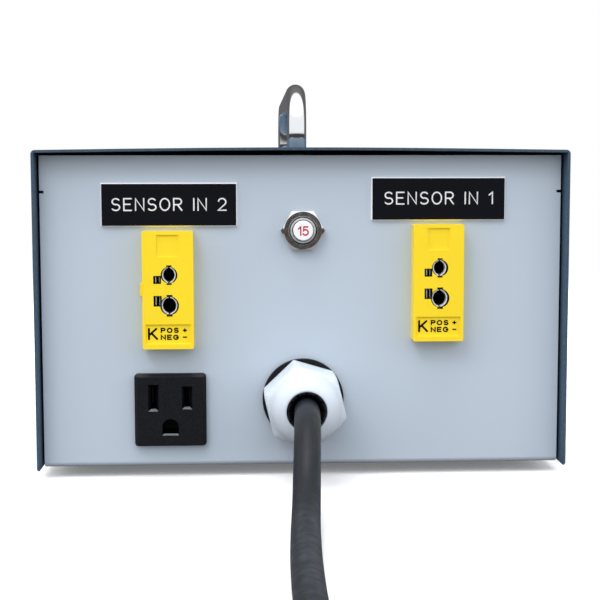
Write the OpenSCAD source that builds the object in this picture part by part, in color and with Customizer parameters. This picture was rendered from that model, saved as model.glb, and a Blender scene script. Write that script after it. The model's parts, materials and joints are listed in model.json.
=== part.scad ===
// Bench-top temperature controller: a folded steel case with a rod handle,
// two thermocouple jacks, a resettable breaker, a mains outlet and a glanded
// power cord on the rear, and two panel controllers on the front.
// Millimetres. +Z is up, the rear panel faces -Y, the floor is z = 0.

/* [Case] */
// Width of the wrap-around cover
case_w = 200; // [196:1:230]
// Depth of the wrap-around cover
case_d = 230; // [226:1:270]
// Height of the cover, without the feet
case_h = 119.5; // [119:0.5:135]
// Thickness of the folded sheet steel
sheet = 1; // [0.8:0.1:1.5]
// How far the end panels sit inside the cover's edges
recess = 6.4; // [6.4:0.1:9]
// Outer radius of the cover's two long bends
bend_r = 1.6; // [1.5:0.1:3]
// Height of the crown along the middle of the cover's top
crown = 0.9; // [0:0.1:2]
// Gap between the cover's sides and the chassis
side_gap = 0.9; // [0.5:0.1:1]

/* [Handle] */
// Diameter of the handle rod
rod_d = 8; // [7:0.5:10]
// Distance between the handle's two legs
handle_span = 120; // [110:1:140]
// Height of the handle above the cover
handle_rise = 28.6; // [27.6:0.1:40]
// Centre-line radius of the handle's bends
handle_bend = 13; // [10:1:16]

/* [Feet] */
// Height of the rubber feet
foot_h = 4; // [3:0.5:8]
// Diameter of the rubber feet
foot_d = 15; // [12:1:18]

/* [Rear panel] */
// Sideways place of the left jack
jack_lx = -50.5; // [-56:0.5:-44]
// Height of the left jack above the chassis bottom
jack_lz = 67.6; // [66:0.2:72]
// Sideways place of the right jack
jack_rx = 50.8; // [44:0.2:56]
// Height of the right jack above the chassis bottom
jack_rz = 69.8; // [66:0.2:72]
// Height of the breaker above the chassis bottom
breaker_z = 89.6; // [86:0.2:92]
// Sideways place of the outlet
outlet_x = -50.2; // [-54:0.2:-44]
// Height of the outlet above the chassis bottom
outlet_z = 22; // [20:0.5:24]
// Height of the cord gland above the chassis bottom
gland_z = 25.6; // [24:0.2:28]

/* [Cord] */
// Diameter of the power cord
cord_d = 9.3; // [8.4:0.1:9.3]

/* [Hidden] */
$fn = 64;

z0 = foot_h;                       // underside of the chassis
yp = case_d / 2 - recess;          // outer face of either end panel
hw = case_w / 2 - sheet - side_gap; // half width of the chassis
panel_h = case_h - sheet - 0.8;    // height of the end panels
ztop = z0 + case_h + crown;        // top of the cover along its middle
foot_r = 2 * sheet;                // outer radius of the bend at each end panel's foot
zf = z0 + sheet;                   // inside floor of the chassis

plate_lx = -50;   plate_lz = 99.3;
plate_rx = 51.3;  plate_rz = 101.3;
plate_w = 51;     plate_h = 16.4;

ctl_x = 51;  ctl_z = 78;  ctl_w = 48;  ctl_body = 44.6;  ctl_deep = 80;
sw_x = 51;   sw_z = 28;
rb_x = 51;   rb_z = 28;
rocker_tilt = 7;

nut_z1 = 24;  nut_z2 = 94;         // cover screws on the end flanges
sx = hw - sheet;
foot_y = case_d / 2 - 34;          // feet, forward and back of the middle

coil_x = -69.4;  coil_y = -381;  coil_ri = 32.8;  coil_ro = 70.1;  coil_h = 18.6;

// the cord's route outside the gland, from the seal to the coil
cr_z = cord_d / 2;
cord_run = [[0, -115, z0 + gland_z], [0, -123, z0 + gland_z], [0, -131, z0 + gland_z], [0, -139, z0 + gland_z],
  [0, -147, 28], [-1, -156, 24], [-1, -165, 18.4], [-2, -174, 12.6], [-3, -183, 8.2],
  [-3, -192, 5.7], [-4, -202, cr_z + 0.2], [-4, -214, cr_z], [-5, -230, cr_z], [-6, -250, cr_z], [-6, -270, cr_z],
  [-6, -292, cr_z], [-5, -312, cr_z], [-4, -330, cr_z], [-4, -344, cr_z]];
// the cord's tail from the coil to the plug
cord_tail = [[-8.8, -402, 14], [-7, -412, 13.8], [-5.2, -422, 13.2], [-3.5, -432, 12.7]];
plug_at = [-3.48, -432.2, 12.6];

module on_rear(x, z) { translate([x, -yp, z0 + z]) rotate([90, 0, 0]) children(); }
module on_front(x, z) { translate([-x, yp, z0 + z]) rotate([90, 0, 180]) children(); }
module rrect(w, h, r) {
  union() {
    square([w, h - 2 * r], center = true);
    square([w - 2 * r, h], center = true);
    for (i = [-1, 1], j = [-1, 1]) translate([i * (w / 2 - r), j * (h / 2 - r)]) circle(r);
  }
}
module slab(w, h, r, a, b) { translate([0, 0, a]) linear_extrude(b - a) rrect(w, h, r); }
module brick(w, h, a, b) { translate([-w / 2, -h / 2, a]) cube([w, h, b - a]); }
module rod(d, a, b) { translate([0, 0, a]) cylinder(d = d, h = b - a); }
module tube(d, di, a, b) { difference() { rod(d, a, b); rod(di, a - 1, b + 1); } }
module hexa(af, a, b) { translate([0, 0, a]) cylinder(d = af / cos(30), h = b - a, $fn = 6); }
module hexnut(af, di, a, b) { difference() { hexa(af, a, b); rod(di, a - 1, b + 1); } }

// smooth path through points and a swept tube along it
function cat(a, b, c, d, t) = 0.5 * (2 * b + (c - a) * t + (2 * a - 5 * b + 4 * c - d) * t * t + (3 * b - a - 3 * c + d) * t * t * t);
function path(P, m) = [for (i = [0 : len(P) - 2]) for (k = [0 : m - 1]) cat(P[max(i - 1, 0)], P[i], P[i + 1], P[min(i + 2, len(P) - 1)], k / m), P[len(P) - 1]];
function unit(v) = v / norm(v);
function tang(Q, i) = unit(Q[min(i + 1, len(Q) - 1)] - Q[max(i - 1, 0)]);
function ring(Q, i, r, n, ref) = let (t = tang(Q, i), u = unit(cross(t, ref)), v = cross(t, u))
  [for (k = [0 : n - 1]) Q[i] + r * (u * cos(360 * k / n) + v * sin(360 * k / n))];
module sweep(P, r, n = 8, m = 2, ref = [1, 0, 0.03]) {
  Q = path(P, m);
  N = len(Q);
  pts = [for (i = [0 : N - 1]) each ring(Q, i, r, n, ref)];
  polyhedron(points = pts, convexity = 6, faces = concat(
    [[for (k = [0 : n - 1]) k]],
    [[for (k = [0 : n - 1]) (N - 1) * n + n - 1 - k]],
    [for (i = [0 : N - 2], k = [0 : n - 1]) [i * n + k, (i + 1) * n + k, (i + 1) * n + (k + 1) % n]],
    [for (i = [0 : N - 2], k = [0 : n - 1]) [i * n + k, (i + 1) * n + (k + 1) % n, i * n + (k + 1) % n]]));
}

// ---------- case ----------
module end_panel() {
  // local frame: z = 0 is the panel's outer face, y up from the chassis bottom
  difference() {
    union() {
      translate([-hw, 0, -sheet]) cube([2 * hw, panel_h, sheet]);
      for (s = [-1, 1]) translate([s > 0 ? hw - sheet : -hw, 0.2, -14]) cube([sheet, 103.4, 14 - sheet / 2]);
      // the inside of the bend at the foot
      difference() {
        translate([-hw, 0, -foot_r]) cube([2 * hw, foot_r, foot_r - sheet / 2]);
        translate([0, foot_r, -foot_r]) rotate([0, 90, 0]) cylinder(r = foot_r - sheet, h = 2 * hw + 4, center = true);
      }
    }
    for (s = [-1, 1]) translate([s * hw - 1.6, 103.6, -20]) cube([3.2, 1, 30]);
    for (s = [-1, 1], z = [nut_z1, nut_z2]) translate([s * hw, z, -8]) rotate([0, 90, 0]) rod(5, -6, 6);
    // the outside of the bend at the foot
    translate([0, foot_r, -foot_r]) rotate([0, 90, 0]) difference() {
      translate([-foot_r - 1, -foot_r - 1, -hw - 1]) cube([foot_r + 1, foot_r + 1, 2 * hw + 2]);
      cylinder(r = foot_r, h = 2 * hw + 4, center = true);
    }
  }
}
module chassis() {
  color([0.74, 0.79, 0.85]) union() {
    difference() {
      on_rear(0, 0) end_panel();
      for (p = [[jack_lx, jack_lz], [jack_rx, jack_rz]]) on_rear(p[0], p[1]) brick(17.4, 38.6, -3, 1);
      on_rear(0, breaker_z) rod(11.2, -3, 1);
      on_rear(outlet_x, outlet_z) brick(24.6, 24.6, -3, 1);
      on_rear(0, gland_z) rod(20.4, -3, 1);
    }
    difference() {
      on_front(0, 0) end_panel();
      for (s = [-1, 1]) on_front(s * ctl_x, ctl_z) brick(45, 45, -3, 1);
      on_front(-sw_x, sw_z) brick(13.2, 27.4, -3, 1);
      on_front(rb_x, rb_z) rod(16, -3, 1);
      on_front(0, ctl_z) rod(8.2, -3, 1);
    }
    difference() {
      union() {
        translate([-hw, -yp + foot_r, z0]) cube([2 * hw, 2 * yp - 2 * foot_r, sheet]);
        for (s = [-1, 1]) translate([s > 0 ? hw - sheet : -hw, -yp + 16, z0]) cube([sheet, 2 * yp - 32, 8]);
      }
      for (i = [-1, 1], j = [-1, 1]) translate([i * 78, j * (foot_y), 0]) rod(4, 0, 12);
      translate([80, -70, 0]) rod(5.4, 0, 12);
    }
  }
}
// the top sheet is flat near the handle and falls away to both sides
crown_flat = 12;
crown_out = case_w / 2 - bend_r;
function crown_at(x) = crown * (1 - pow(max(abs(x) - crown_flat, 0) / (crown_out - crown_flat), 1.4));
crown_x = [for (i = [0 : 10]) crown_flat + (crown_out - crown_flat) * i / 10];
function crown_line(h) = [for (i = [10 : -1 : 0]) [crown_x[i], h + crown_at(crown_x[i])], for (i = [0 : 10]) [-crown_x[i], h + crown_at(crown_x[i])]];
module cover() {
  color([0.27, 0.37, 0.45]) difference() {
    translate([0, case_d / 2, z0]) rotate([90, 0, 0]) linear_extrude(case_d) difference() {
      union() {
        translate([-case_w / 2, 0]) square([case_w, case_h - bend_r]);
        polygon(concat([[crown_out, 0]], crown_line(case_h), [[-crown_out, 0]]));
        for (s = [-1, 1]) translate([s * (case_w / 2 - bend_r), case_h - bend_r]) circle(bend_r);
      }
      polygon(concat([[case_w / 2 - sheet, -1], [case_w / 2 - sheet, case_h - sheet]], crown_line(case_h - sheet), [[sheet - case_w / 2, case_h - sheet], [sheet - case_w / 2, -1]]));
      // rounded foot of each side
      for (s = [-1, 1]) translate([s * (case_w / 2 - 0.9), 0.9]) difference() {
        translate([s > 0 ? 0 : -1, -1]) square([1, 1]);
        circle(r = 0.9, $fn = 32);
      }
    }
    for (s = [-1, 1], e = [-1, 1], z = [nut_z1, nut_z2])
      translate([s * case_w / 2, e * (yp - 8), z0 + z]) rotate([0, s * 90, 0]) {
        rod(4.2, -6, 1);
        translate([0, 0, -1.2]) cylinder(d1 = 4.2, d2 = 7, h = 1.2);
        rod(7, 0, 1);
      }
    for (s = [-1, 1]) translate([0, s * handle_span / 2, ztop - 5]) rod(5.4, 0, 8);
    // cooling slots low on both sides
    for (s = [-1, 1], i = [-4 : 4]) translate([s * case_w / 2, i * 8, z0 + 62]) rotate([0, 90, 0])
      translate([0, 0, -4]) linear_extrude(8) union() {
        square([30, 3], center = true);
        for (e = [-1, 1]) translate([e * 15, 0]) circle(1.5);
      }
  }
}
module cover_screws() {
  color([0.55, 0.57, 0.6])
    for (s = [-1, 1], e = [-1, 1], z = [nut_z1, nut_z2])
      translate([s * case_w / 2, e * (yp - 8), z0 + z]) rotate([0, s * 90, 0]) difference() {
        union() {
          rod(3.4, -8, -1.1);
          translate([0, 0, -1.15]) cylinder(d1 = 3.9, d2 = 6.6, h = 1.15);
        }
        for (a = [0, 90]) rotate(a) brick(3.4, 0.8, -0.8, 1);
      }
}
module cover_clinch_nuts() {
  color([0.72, 0.73, 0.75])
    for (s = [-1, 1], e = [-1, 1], z = [nut_z1, nut_z2])
      translate([s * hw, e * (yp - 8), z0 + z]) rotate([0, s * 90, 0]) {
        tube(4.9, 3.5, -sheet, -0.1);
        tube(8, 3.5, -sheet - 2.6, -sheet);
      }
}
module carry_handle() {
  zc = ztop + handle_rise - rod_d / 2;
  color([0.82, 0.84, 0.86]) difference() {
    union() {
      for (s = [-1, 1]) translate([0, s * handle_span / 2, 0]) rod(rod_d, ztop, zc - handle_bend);
      translate([0, handle_span / 2 - handle_bend, zc]) rotate([90, 0, 0]) rod(rod_d, 0, handle_span - 2 * handle_bend);
      for (s = [-1, 1]) translate([0, s * (handle_span / 2 - handle_bend), zc - handle_bend])
        rotate([0, 0, s * 90]) rotate([90, 0, 0]) rotate_extrude(angle = 90) translate([handle_bend, 0]) circle(d = rod_d);
    }
    for (s = [-1, 1]) translate([0, s * handle_span / 2, 0]) rod(5.1, ztop - 1, ztop + 10);
  }
}
module handle_screws() {
  color([0.6, 0.62, 0.65]) for (s = [-1, 1]) translate([0, s * handle_span / 2, ztop - sheet]) difference() {
    union() {
      rod(5, -1, sheet + 9);
      rod(9, -4.2, -1);
    }
    for (a = [0, 90]) rotate(a) brick(4.6, 1, -5, -2.6);
  }
}
module handle_washers() {
  color([0.75, 0.76, 0.78]) for (s = [-1, 1]) translate([0, s * handle_span / 2, ztop - sheet]) tube(12, 5.4, -1, 0);
}
module rubber_feet() {
  color([0.07, 0.07, 0.08]) for (i = [-1, 1], j = [-1, 1]) translate([i * 78, j * (foot_y), 0]) difference() {
    cylinder(d1 = foot_d - 1.6, d2 = foot_d, h = foot_h);
    rod(3.9, -1, foot_h + 1);
    rod(8, -1, 2.1);
  }
}
module foot_screws() {
  color([0.6, 0.62, 0.65]) for (i = [-1, 1], j = [-1, 1]) translate([i * 78, j * (foot_y), 0]) difference() {
    union() {
      rod(3.5, 2, foot_h + sheet + 4);
      rod(7, 0.6, 2.1);
    }
    for (a = [0, 90]) rotate(a) brick(4, 0.9, 0, 1.3);
  }
}
module foot_nuts() {
  color([0.75, 0.76, 0.78]) for (i = [-1, 1], j = [-1, 1]) translate([i * 78, j * (foot_y), zf]) hexnut(7, 3.6, 0, 2.8);
}

// ---------- rear panel ----------
module sensor_jack() {
  difference() {
    union() {
      slab(19, 44, 0.7, 0, 6);
      brick(16.8, 38, -15, 0);
    }
    // round sockets with a key at top and bottom
    for (q = [[0.5, 5.7, 6.2, 1.9], [0.6, -5.7, 7, 2.2]]) translate([q[0], q[1], 0]) {
      rod(q[2], -12, 7);
      brick(q[3], q[2] + 1.1, 1.5, 7);
    }
    // flat pin slots beside the sockets
    translate([-3.9, 3.95, 0]) brick(2.9, 3, -9, 7);
    translate([-3.8, -4, 0]) brick(3, 4, -9, 7);
    // square thumb recess and the label recess
    translate([0, 16.5, 0]) brick(8.2, 8.2, 5.6, 7);
    translate([0, -16.4, 0]) brick(16.7, 7.4, 5.5, 7);
    // wiring wells at the back
    for (s = [-1, 1]) translate([s * 4.6, -15, 0]) brick(5, 5, -16, -9);
  }
}
module jack_contact(w, h, x, y, d, di) {
  // two spring leaves shaped like ( ), on a round barrel
  rr = (h * h / 4 + w * w / 4) / w;
  translate([x, y, 0]) {
    for (s = [-1, 1]) intersection() {
      translate([s * (w / 2 - rr), 0, 2.2]) difference() {
        cylinder(r = rr, h = 3, $fn = 96);
        translate([0, 0, -1]) cylinder(r = rr - 0.4, h = 5, $fn = 96);
      }
      translate([s > 0 ? 0.35 : -0.35 - w, -h / 2 + 0.15, 0]) cube([w, h - 0.3, 9]);
    }
    difference() {
      rod(d, -11.8, 2.2);
      rod(di, -10.6, 3);
    }
  }
}
module jack_contacts() {
  jack_contact(5.1, 6.3, 0.4, 5.7, 5.7, 4.2);
  jack_contact(5.9, 6.8, 0.5, -5.7, 6.6, 5);
}
module jack_clips() {
  color([1, 0.86, 0.1]) {
    on_rear(jack_lx, jack_lz) difference() {
      union() { translate([-9.55, 0, 0]) brick(2.1, 5, 0, 1.8); translate([-9.5, 0, 0]) brick(1.4, 5, -14, -sheet - 0.3); }
      slab(19, 44, 0.7, -0.5, 6.2);
    }
    on_rear(jack_lx, jack_lz) translate([9.5, 0, 0]) brick(1.4, 5, -14, -sheet - 0.3);
    for (s = [-1, 1]) on_rear(jack_rx, jack_rz) translate([s * 9.5, 0, 0]) brick(1.4, 5, -14, -sheet - 0.3);
  }
}
module jack_terminal_screws() {
  color([0.8, 0.66, 0.35]) for (p = [[jack_lx, jack_lz], [jack_rx, jack_rz]], s = [-1, 1]) on_rear(p[0] + s * 4.6, p[1] - 15)
    difference() {
      union() { rod(4.2, -13, -9); rod(4.8, -14.6, -13); }
      brick(6, 0.8, -16, -14);
    }
}
module nameplate(x, z) {
  on_rear(x, z) {
    color([0.95, 0.95, 0.96]) slab(plate_w, plate_h, 0.2, 0, 0.8);
    color([0.05, 0.05, 0.06]) slab(plate_w - 1, plate_h - 1, 0.2, 0.8, 1.3);
  }
}
module breaker_body() {
  color([0.1, 0.1, 0.1]) on_rear(0, breaker_z) difference() {
    union() {
      brick(14, 34, -32, -3.4);
      rod(10.6, -3.4, 4);
      rod(16, -3.4, -sheet);
    }
    rod(8.3, -8, 5);
    translate([0, 0, 3.2]) cylinder(d1 = 8.3, d2 = 9.9, h = 0.81);
  }
}
module breaker_nut() {
  color([0.85, 0.86, 0.88]) on_rear(0, breaker_z) difference() {
    intersection() {
      hexa(14.4, 0, 2.8);
      union() { rod(20, 0, 1.6); translate([0, 0, 1.6]) cylinder(d1 = 17.6, d2 = 13.4, h = 1.2); }
    }
    rod(10.8, -1, 4);
  }
}
module breaker_button() {
  color([0.97, 0.97, 0.97]) on_rear(0, breaker_z) {
    rod(7.5, -5, 5.4);
    translate([0, 0, 5.4]) cylinder(d1 = 7.5, d2 = 6.9, h = 0.4);
  }
}
module breaker_terminals() {
  color([0.82, 0.7, 0.4]) on_rear(0, breaker_z) for (s = [-1, 1]) translate([0, s * 11, 0]) difference() {
    brick(6.3, 0.8, -40, -32);
    translate([0, 2, -37]) rotate([90, 0, 0]) rod(1.8, 0, 4);
  }
}
module slot_leadin(w, h, ww, hh, deep) {
  hull() {
    translate([-w / 2, -h / 2, 0.01]) cube([w, h, 0.6]);
    translate([-ww / 2, -hh / 2, -deep]) cube([ww, hh, 0.02]);
  }
}
// a 45 degree cut of size c along one edge of a flange
module edge_cut(half, top, c) {
  translate([-20, half, top]) rotate([90, 0, 90]) linear_extrude(40) polygon([[-c, 0], [1, -c - 1], [1, 1], [-c, 1]]);
}
module outlet_body() {
  color([0.09, 0.09, 0.1]) on_rear(outlet_x, outlet_z) difference() {
    union() {
      slab(27, 27.6, 1.4, 0, 3.2);
      brick(24.2, 24.2, -20, 0);
    }
    for (a = [0, 180]) rotate(a) { edge_cut(13.8, 3.2, 1.2); rotate(90) edge_cut(13.5, 3.2, 1.2); }
    translate([-6.35, 4.7, 3.2]) { slot_leadin(4, 10.2, 2.2, 8.7, 1.7); brick(2.2, 8.7, -17, 0); }
    translate([6.35, 4.7, 3.2]) { slot_leadin(4, 8.8, 2.2, 7.3, 1.7); brick(2.2, 7.3, -17, 0); }
    translate([0, -6.4, 0]) { rod(6.2, -12, 4); translate([0, -1.6, 0]) brick(6.2, 3.2, -12, 4); }
    for (s = [-1, 1]) translate([s * 6.35, 4.7, 0]) brick(1, 6.4, -21, -12);
    translate([0, -6.4, 0]) brick(6.4, 1, -21, -11);
  }
}
module outlet_contacts() {
  color([0.82, 0.68, 0.36]) on_rear(outlet_x, outlet_z) {
    for (s = [-1, 1]) translate([s * 6.35, 4.7, 0]) { brick(0.8, 6, -28, -13.8); translate([s * 0.7, 0, 0]) brick(0.6, 6, -13.8, -4); }
    translate([0, -6.4, 0]) brick(6, 0.8, -28, -11.9);
  }
}

// ---------- cord gland ----------
module gland_washer() { color([0.06, 0.06, 0.07]) on_rear(0, gland_z) tube(30.8, 20.4, 0, 2.4); }
module gland_body() {
  color([0.9, 0.91, 0.92]) on_rear(0, gland_z) difference() {
    union() {
      rod(20, -13, 2.4);
      rotate(43.5) hexa(27, 2.4, 8.6);
      rod(21.6, 8.6, 20);
    }
    rod(11, -14, 10);
    rod(16.4, 10, 21);
  }
}
module gland_dome_nut() {
  color([0.93, 0.94, 0.95]) on_rear(0, gland_z) difference() {
    intersection() {
      rotate(43.5) hexa(27.6, 9, 30.2);
      rotate_extrude() polygon([[0, 9], [15, 9], [16.2, 10], [16.2, 18.6], [14.6, 20.4], [13.1, 21.6], [12.8, 24],
        [12.2, 26.4], [11.2, 28.4], [9.9, 29.7], [8.6, 30.2], [0, 30.2]]);
    }
    rod(21.9, 8, 20.6);
    rod(17, 20, 26.6);
    rod(14.5, 26, 31);
  }
}
module gland_seal() {
  color([0.05, 0.05, 0.06]) on_rear(0, gland_z) difference() {
    union() { rod(16.2, 12, 20); rod(16.6, 20.2, 26.3); rod(14.2, 19.9, 27.6); }
    rod(9.5, 11, 24);
    translate([0, 0, 23.9]) cylinder(d1 = 9.5, d2 = 12.6, h = 3.8);
  }
}
module gland_locknut() { color([0.93, 0.94, 0.95]) on_rear(0, gland_z) hexnut(27, 20.2, -sheet - 5, -sheet); }

// ---------- power cord ----------
module power_cord() {
  color([0.2, 0.22, 0.26]) {
    sweep(cord_run, cord_d / 2, 10, 2);
    sweep(cord_tail, cord_d / 2, 10, 1);
  }
}
module cord_coil() {
  color([0.2, 0.22, 0.26]) translate([coil_x, coil_y, 0]) rotate_extrude($fn = 48)
    polygon([[coil_ri, 2.6], [coil_ri + 2.6, 0], [coil_ro - 2.6, 0], [coil_ro, 2.6], [coil_ro, 6.6], [coil_ro - 2.6, 9.2],
      [coil_ro - 9.3, 9.3], [coil_ro - 9.3, 16], [coil_ro - 12, coil_h], [coil_ri + 2.6, coil_h], [coil_ri, 16]]);
}
module on_plug() { translate(plug_at) rotate([0, 0, 9.7]) rotate([90, 0, 0]) children(); }
module plug_body() {
  color([0.08, 0.08, 0.09]) on_plug() union() {
    translate([0, 0, 0]) cylinder(d1 = 11.4, d2 = 15, h = 22);
    slab(26, 25, 4, 22, 46);
  }
}
module plug_blades() {
  color([0.85, 0.75, 0.45]) on_plug() {
    for (s = [-1, 1]) translate([s * 6.35, 4, 0]) brick(1.5, 6.3, 46, 63);
    translate([0, -7.9, 0]) rod(4.7, 46, 66);
  }
}

// ---------- front panel ----------
key_pos4 = [-15.6, -5.2, 5.2, 15.6];
key_pos3 = [-14, 0, 14];
module controller_case(keys, kw) {
  difference() {
    union() {
      slab(ctl_w, ctl_w, 1.6, 0, 5.2);
      brick(ctl_body, ctl_body, -sheet - ctl_deep, 0);
    }
    translate([0, 6.6, 0]) brick(41, 26, 4.2, 6);
    for (x = keys) translate([x, -15.4, 0]) slab(kw + 0.7, 7.7, 0.8, 1.4, 6);
  }
}
module process_controller_case() { color([0.12, 0.12, 0.13]) on_front(-ctl_x, ctl_z) controller_case(key_pos4, 8); }
module limit_controller_case() { color([0.12, 0.12, 0.13]) on_front(ctl_x, ctl_z) controller_case(key_pos3, 10.6); }
module process_controller_window() { color([0.12, 0.02, 0.02]) on_front(-ctl_x, ctl_z) translate([0, 6.6, 0]) slab(40.8, 25.8, 0.4, 4.2, 5); }
module limit_controller_window() { color([0.12, 0.02, 0.02]) on_front(ctl_x, ctl_z) translate([0, 6.6, 0]) slab(40.8, 25.8, 0.4, 4.2, 5); }
module key(x, w) { translate([x, -15.4, 0]) slab(w, 7, 0.7, 2.3, 6.1); }
module process_key(i) { color([0.6, 0.62, 0.65]) on_front(-ctl_x, ctl_z) key(key_pos4[i], 8); }
module limit_key(i) { color([0.6, 0.62, 0.65]) on_front(ctl_x, ctl_z) key(key_pos3[i], 10.6); }
module process_key_1() { process_key(0); }
module process_key_2() { process_key(1); }
module process_key_3() { process_key(2); }
module process_key_4() { process_key(3); }
module limit_key_1() { limit_key(0); }
module limit_key_2() { limit_key(1); }
module limit_key_3() { limit_key(2); }
module controller_clamps() {
  color([0.14, 0.14, 0.15]) for (s = [-1, 1]) on_front(s * ctl_x, ctl_z) difference() {
    slab(52, 52, 2, -sheet - 8, -sheet);
    brick(ctl_body + 0.2, ctl_body + 0.2, -20, 2);
  }
}
module power_switch_body() {
  color([0.08, 0.08, 0.09]) on_front(-sw_x, sw_z) difference() {
    union() {
      slab(16, 31, 1.2, 0, 2);
      brick(12.9, 27, -20, 0);
      for (y = [-8, 0, 8]) translate([0, y, 0]) brick(4.8, 0.8, -28, -20);
    }
    brick(9.8, 24.4, -9, 3);
    translate([0, 0, -1]) rotate([0, 90, 0]) rod(2.6, -6.2, 6.2);
  }
}
module power_rocker() {
  color([0.06, 0.06, 0.07]) on_front(-sw_x, sw_z) translate([0, 0, -1]) rotate([rocker_tilt, 0, 0]) {
    rotate([90, 0, 90]) translate([0, 0, -4.5]) linear_extrude(9) polygon([[-11.2, -3], [11.2, -3], [11.2, 4.6], [0, 3], [-11.2, 4.6]]);
    rotate([0, 90, 0]) rod(2.5, -6, 6);
  }
}
module reset_button_body() {
  color([0.75, 0.76, 0.78]) on_front(rb_x, rb_z) difference() {
    union() {
      tube(19, 11.4, 0, 2.2);
      rod(15.6, -18, 0.1);
      for (s = [-1, 1]) translate([s * 3.5, 0, 0]) brick(0.8, 2.8, -25, -18);
    }
    rod(11.4, -9, 3);
  }
}
module reset_button_cap() {
  color([0.8, 0.1, 0.08]) on_front(rb_x, rb_z) {
    rod(10.6, -6, 5.4);
    translate([0, 0, 5.4]) cylinder(d1 = 10.6, d2 = 9.4, h = 0.6);
  }
}
module reset_button_nut() { color([0.75, 0.76, 0.78]) on_front(rb_x, rb_z) hexnut(19, 15.8, -sheet - 3, -sheet); }
module heater_lamp() {
  color([0.9, 0.35, 0.05]) on_front(0, ctl_z) union() {
    rod(8, -16, 0);
    rod(10, 0, 1.6);
    translate([0, 0, 1.6]) cylinder(d1 = 8, d2 = 6, h = 2.6);
    for (s = [-1, 1]) translate([s * 2, 0, 0]) brick(0.6, 2.8, -23, -16);
  }
}

// ---------- inside ----------
module heat_sink() {
  color([0.7, 0.72, 0.74]) translate([8, -52, zf]) union() {
    cube([84, 60, 4]);
    for (i = [0 : 6]) translate([48 + i * 5.6, 0, 3.9]) cube([2, 60, 24]);
  }
}
module solid_state_relay() {
  color([0.85, 0.85, 0.82]) translate([9, -50, zf + 4]) difference() {
    union() {
      cube([44, 57, 17]);
      for (x = [10, 34], y = [7, 50]) translate([x, y, 17]) rod(7, 0, 2.4);
    }
    for (x = [10, 34], y = [7, 50]) translate([x, y, 18]) brick(8, 1, 0.4, 3);
    for (y = [-1, 54]) translate([19.5, y, -1]) cube([5, 4, 20]);
  }
}
module safety_relay() {
  color([0.2, 0.3, 0.4]) translate([-84, -46, zf]) union() {
    cube([34, 30, 12]);
    translate([3, 3, 12]) cube([28, 24, 34]);
  }
}
module terminal_block() {
  color([0.08, 0.08, 0.09]) translate([-72, 36, zf]) union() {
    difference() {
      cube([56, 22, 12]);
      for (i = [0 : 5]) translate([2.4 + i * 8.8, -1, 6]) cube([7.2, 24, 7]);
    }
    for (i = [0 : 5], y = [5, 17]) translate([6 + i * 8.8, y, 5.9]) rod(5.4, 0, 3);
  }
}
module ground_stud() {
  color([0.8, 0.7, 0.4]) translate([80, -70, 0]) union() {
    rod(5.2, z0 - 0, zf + 14);
    hexa(8, zf, zf + 3);
    tube(9.6, 5, zf + 3, zf + 3.8);
    hexa(8, zf + 3.8, zf + 7);
  }
}
// mains wires: jacket end inside the gland, then line, neutral and ground
wire_line_in = [[2, -93.2, 31], [4, -88, 33], [9, -84, 42], [11, -80, 56], [10, -72, 70], [6, -63, 78], [1, -61.6, 82], [0, -64.2, 82.6], [0, -68.2, 82.6]];
wire_line_out = [[0, -68.2, 104.6], [0, -64.2, 104.6], [5, -61.6, 105], [16, -64, 104], [26, -67, 98], [30, -68, 78], [28, -68, 56], [24, -66, 38], [20, -58, 32], [19, -44, 32]];
wire_neutral = [[-2, -93.2, 31], [-4, -88, 33], [-14, -78, 33], [-34, -66, 22], [-40, -40, 16], [-40, 0, 14], [-38, 24, 14], [-38, 36, 16]];
wire_ground = [[0, -93.2, 27.2], [2, -88, 24], [14, -80, 16], [40, -72, 13], [62, -70, 12.6], [74.8, -70, 12.6]];
wire_outlet_hot = [[-43.85, -80.3, 30.7], [-43.85, -76, 30.7], [-46, -68, 29], [-60, -60, 20], [-68, -54, 14], [-68, -50, 14], [-68, -46.3, 14]];
wire_outlet_neutral = [[-56.55, -80.3, 30.7], [-56.55, -76, 30.7], [-62, -70, 31], [-92, -60, 30], [-92, -30, 16], [-92, 10, 14], [-86, 36, 14], [-78, 44, 14], [-72.2, 44, 14]];
wire_switch = [[51, 80.4, 32], [50, 74, 31], [40, 50, 24], [20, 47, 20], [0, 47, 17], [-15.8, 47, 14]];
module mains_wiring() {
  color([0.1, 0.1, 0.1]) {
    on_rear(0, gland_z) rod(cord_d, -15.4, 6.4);
    sweep(wire_line_in, 1.6, 8, 2, [1, 0.2, 0.1]);
    sweep(wire_line_out, 1.6, 8, 2, [0.2, 1, 0.1]);
  }
  color([0.9, 0.9, 0.9]) {
    sweep(wire_neutral, 1.6, 8, 2, [0.1, 0.1, 1]);
    sweep(wire_outlet_neutral, 1.6, 8, 2, [0.1, 0.1, 1]);
  }
  color([0.1, 0.5, 0.2]) sweep(wire_ground, 1.6, 8, 2, [0.1, 0.1, 1]);
  color([0.7, 0.1, 0.1]) {
    sweep(wire_outlet_hot, 1.6, 8, 2, [0.1, 0.1, 1]);
    sweep(wire_switch, 1.6, 8, 2, [0.1, 0.1, 1]);
  }
}
wire_sensor_left = [[-50, -93.3, 56.6], [-50, -90, 56.6], [-58, -84, 56], [-72, -74, 54], [-90, -50, 52], [-90, 0, 52], [-80, 18, 54], [-60, 20.6, 64], [-52, 21, 74], [-51, 24, 78], [-51, 27.1, 78]];
wire_sensor_right = [[51, -93.3, 58.8], [51, -90, 58.8], [58, -84, 57], [72, -74, 54], [90, -50, 52], [90, 0, 52], [80, 18, 54], [60, 20.6, 64], [52, 21, 74], [51, 24, 78], [51, 27.1, 78]];
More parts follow.
